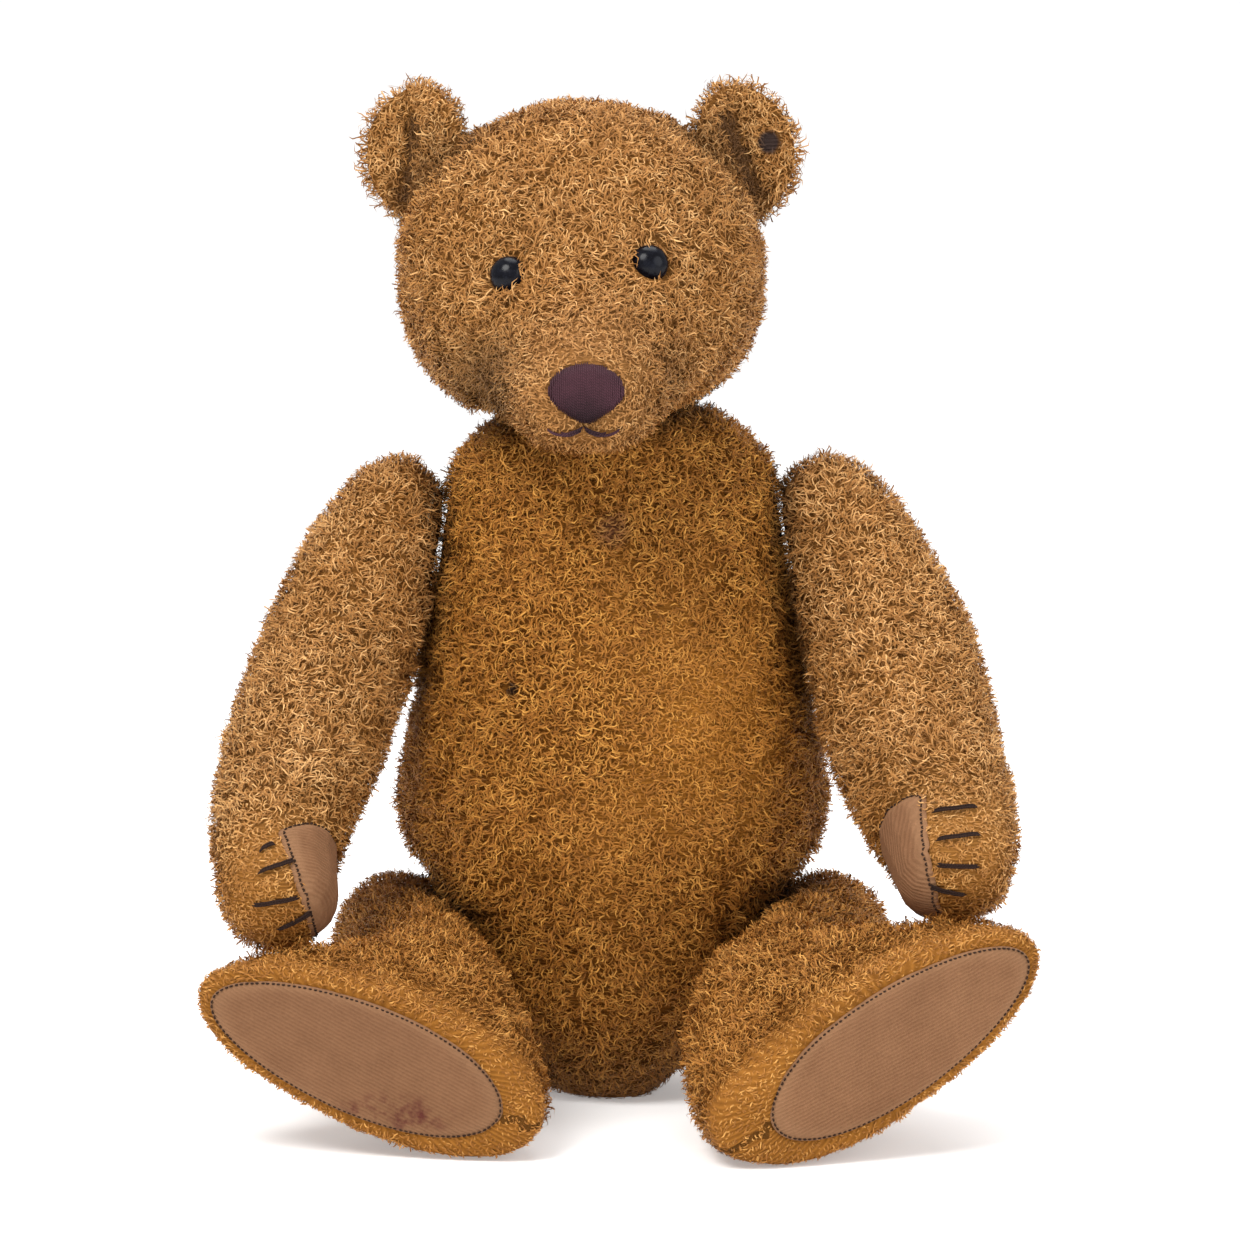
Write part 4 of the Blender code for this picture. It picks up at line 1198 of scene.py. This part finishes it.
def makePad(key, look, finish):
    pad = pads[key]
    rings, around = padLook["rings"], padLook["around"]

    def onPad(share, turn, inset=0.0, lift=0.0):
        out = share * float(edgeAt(pad, turn))
        hit = onSolid(pad, out, turn, inset)
        inner = out
        while hit is None:  # past the solid's edge the last slope goes on
            inner -= 0.02
            hit = onSolid(pad, inner, turn, inset)
            if hit is not None:
                hit = hit + (hit - onSolid(pad, inner - 0.06, turn, inset)) * (out - inner) / 0.06
        turnedIn = padLook["turnedIn"] * smooth(np.array(share), 0.93, 1.0)
        crown = look["crown"] * (1 - share**4) + look["lift"] - turnedIn
        return hit + pad["normal"] * (crown + lift)

    shares = 1 - (1 - np.linspace(0, 1, rings + 1)[1:]) ** 1.5
    points = [onPad(0.0, 0.0)]
    edge = [0.0]
    for share in shares:
        for i in range(around):
            points.append(onPad(share, 2 * math.pi * i / around))
            edge.append(float(smooth(np.array(share), 0.82, 1.0)))
    for i in range(around):
        points.append(onPad(1.0, 2 * math.pi * i / around) - pad["normal"] * padLook["skirt"])
        edge.append(0.0)
    faces = [(0, 1 + i, 1 + (i + 1) % around) for i in range(around)]
    faces += [(a, d, c, b) for a, b, c, d in ringFaces(1, rings, around)]
    felt = addObject(key + "Pad", points, faces, finish, pad["body"])
    offset = np.array(points) - pad["middle"]
    tilt = math.radians(look["twill"])
    line = offset @ pad["long"] * math.sin(tilt) + offset @ pad["wide"] * math.cos(tilt)
    markPoints(felt.data, {"line": line, "edge": edge})
    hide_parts(pad["name"])

    stitch = padLook["stitch"]
    fine = np.linspace(0, 2 * math.pi, 720)
    loop = np.array([onPad(1.0, t, look["inside"]) for t in fine])
    gone = np.concatenate([[0], np.cumsum(np.linalg.norm(np.diff(loop, axis=0), axis=1))])
    count = int(gone[-1] / stitch["step"])
    rng = np.random.default_rng(len(key))
    paths = []
    for i in range(count):
        start = gone[-1] * i / count + rng.uniform(-stitch["stray"], stitch["stray"])
        path = []
        for share in np.linspace(0, 1, 5):
            turn = np.interp(start + stitch["long"] * share, gone, fine)
            height = stitch["lift"] + stitch["arch"] * math.sin(math.pi * share)
            path.append(onPad(1.0, turn, look["inside"], height))
        paths.append(path)
    addThread(key + "Stitches", paths, stitch["radius"], seamThread, pad["body"], 5)


plainFelt = makeFelt("felt")
smudgedFelt = makeFelt("feltSmudged", fadedSmudge)
for side in ("right", "left"):
    makePad(side + "Foot", padLook["Foot"], smudgedFelt if side == "right" else plainFelt)
    makePad(side + "Paw", padLook["Paw"], plainFelt)
print("pads sewn")


# face

faceLook = {
    "eye": {
        "radius": 5.05,
        "back": ((0.9, 0.0), (0.5, 0.1), (0.12, 0.45)),  # in from the radius, and height
        "dome": 3.7,
        "rim": 0.9,
        "sunk": 0.5,
        "segments": 48,
    },
    "nose": {"threads": 40, "radius": 0.3, "lift": 0.12, "dive": 1.4, "front": -70.0, "stations": 13},
    "mouth": {"radius": 0.38, "lift": 0.95, "bow": 1.2},
    "claw": {"radius": 0.37, "lift": 0.95, "beside": (0.4, 0.55, -0.5, 0.45)},
}
headTree = tree("head")


def fromFront(surface, x, z):
    hit, normal, _, _ = surface.ray_cast(Vector((x, -300.0, z)), Vector((0, 1, 0)))
    if hit is None:
        return None, None
    normal = np.array(normal)
    return np.array(hit), normal if normal[1] < 0 else -normal


def makeEye(side):
    look = faceLook["eye"]
    points = meshPoints(nodes[side + "_eye"].data)
    middle = points.mean(0)
    _, _, axes = np.linalg.svd(points - middle, full_matrices=False)
    axis = axes[2] * np.sign(-axes[2][1])
    back = (points @ axis).min()
    base = middle + axis * (back - middle @ axis - look["sunk"])
    across = unit(np.cross(axis, [0, 0.1, 1.0]))
    lift = np.cross(axis, across)
    radius, rim, dome, segments = look["radius"], look["rim"], look["dome"], look["segments"]
    profile = [(radius - inset, height) for inset, height in look["back"]]
    for t in np.linspace(0, math.pi / 2, 15)[:-1]:
        profile.append((radius * math.cos(t), rim + dome * math.sin(t) ** 1.05))
    points = [base]
    for out, height in profile:
        for t in np.arange(segments) * 2 * math.pi / segments:
            points.append(base + axis * height + out * (math.cos(t) * across + math.sin(t) * lift))
    points.append(base + axis * (rim + dome))
    last = len(points) - 1 - segments
    faces = [(0, 1 + (i + 1) % segments, 1 + i) for i in range(segments)]
    faces += ringFaces(1, len(profile) - 1, segments)
    faces += [(last + i, last + (i + 1) % segments, len(points) - 1) for i in range(segments)]
    button = addObject(side + "EyeButton", points, faces, buttonFinish, "head")
    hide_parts(side + "_eye")


def makeNose():
    look = faceLook["nose"]
    solid = tree("nose")
    (lowX, _, lowZ), (highX, _, highZ) = (np.array(corner) / mm for corner in (noseLow, noseHigh))
    paths = []
    rng = np.random.default_rng(8)
    for i in range(look["threads"]):
        x = lowX + (highX - lowX) * (i + 0.5) / look["threads"]
        found = []
        for z in np.linspace(highZ + 0.5, lowZ - 0.5, 90):
            hit, normal = fromFront(solid, x, z)
            if hit is not None and hit[1] < look["front"]:
                found.append(hit + normal * (look["radius"] * 0.5 + look["lift"]))
        if len(found) < 4:
            continue
        path = [found[k] for k in np.linspace(0, len(found) - 1, look["stations"]).round().astype(int)]
        stray = rng.uniform(-0.35, 0.35)
        start = path[0] + np.array([0, look["dive"], 0.45 + stray])  # both ends dive into the cloth
        end = path[-1] + np.array([0, look["dive"], -0.5 + stray])
        paths.append([start, *path, end])
    addThread("noseStitches", paths, look["radius"], noseThread, "head", 7)
    refinish(nodes["nose"].data, noseThread)
    return len(paths)


def layThread(surface, ends, lift, bow=0.0):  # a stitch on the cloth that dives in at both ends
    x0, z0, x1, z1 = ends
    path = []
    for t in np.linspace(0, 1, 15):
        hit, normal = fromFront(surface, x0 + (x1 - x0) * t, z0 + (z1 - z0) * t - bow * 4 * t * (1 - t))
        rise = lift * (1 - abs(2 * t - 1) ** 5 * 1.25)
        if hit is not None:
            path.append(hit + normal * rise)
    return path if len(path) > 3 else None


def makeMouth():
    look = faceLook["mouth"]
    x, z, reach, rise = bearMarks["mouth"]
    for side, way in (("right", -1), ("left", 1)):
        long = (x + way * 0.3, z + 0.6, x + way * reach, z + rise)
        short = (x, z + 1.6, x + way * reach * 0.62, z + rise * 0.2 - 0.2)
        outer = layThread(headTree, long, look["lift"], look["bow"])
        inner = layThread(headTree, short, look["lift"] * 0.9, look["bow"] * 0.5)
        paths = [path for path in (outer, inner) if path]
        if paths:
            name = side + "MouthStitches"
            made = addThread(name, paths, look["radius"], noseThread, "head", 8)
            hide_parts("mouth_" + side)


def makeClaws(side):
    look = faceLook["claw"]
    surface = tree(side + "_arm")
    for number, ends in enumerate(clawLines[side], 1):
        path = layThread(surface, ends, look["lift"])
        beside = layThread(surface, tuple(np.add(ends, look["beside"])), look["lift"] * 0.85)
        name = f"{side}Claw{number}"
        made = addThread(name, [path, beside], look["radius"], clawThread, side + "_arm", 8)
        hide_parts(f"{side}_claw_{number}")


for side in ("right", "left"):
    makeEye(side)
    makeClaws(side)
print("nose threads:", makeNose())
makeMouth()


# the joints inside keep their CAD shapes

for name, node in nodes.items():
    if name.endswith("_disc"):
        refinish(node.data, cardFinish)
    elif name.endswith(("_washer", "_pin", "_loop")):
        refinish(node.data, steelFinish)
print("joints finished")
made = [o for o in bpy.data.objects if o.type == "MESH" and o not in nodes.values()]
print("triangles added:", sum(len(p.vertices) - 2 for o in made for p in o.data.polygons))
print("largest piece:", max((len(o.data.polygons), o.name) for o in made))
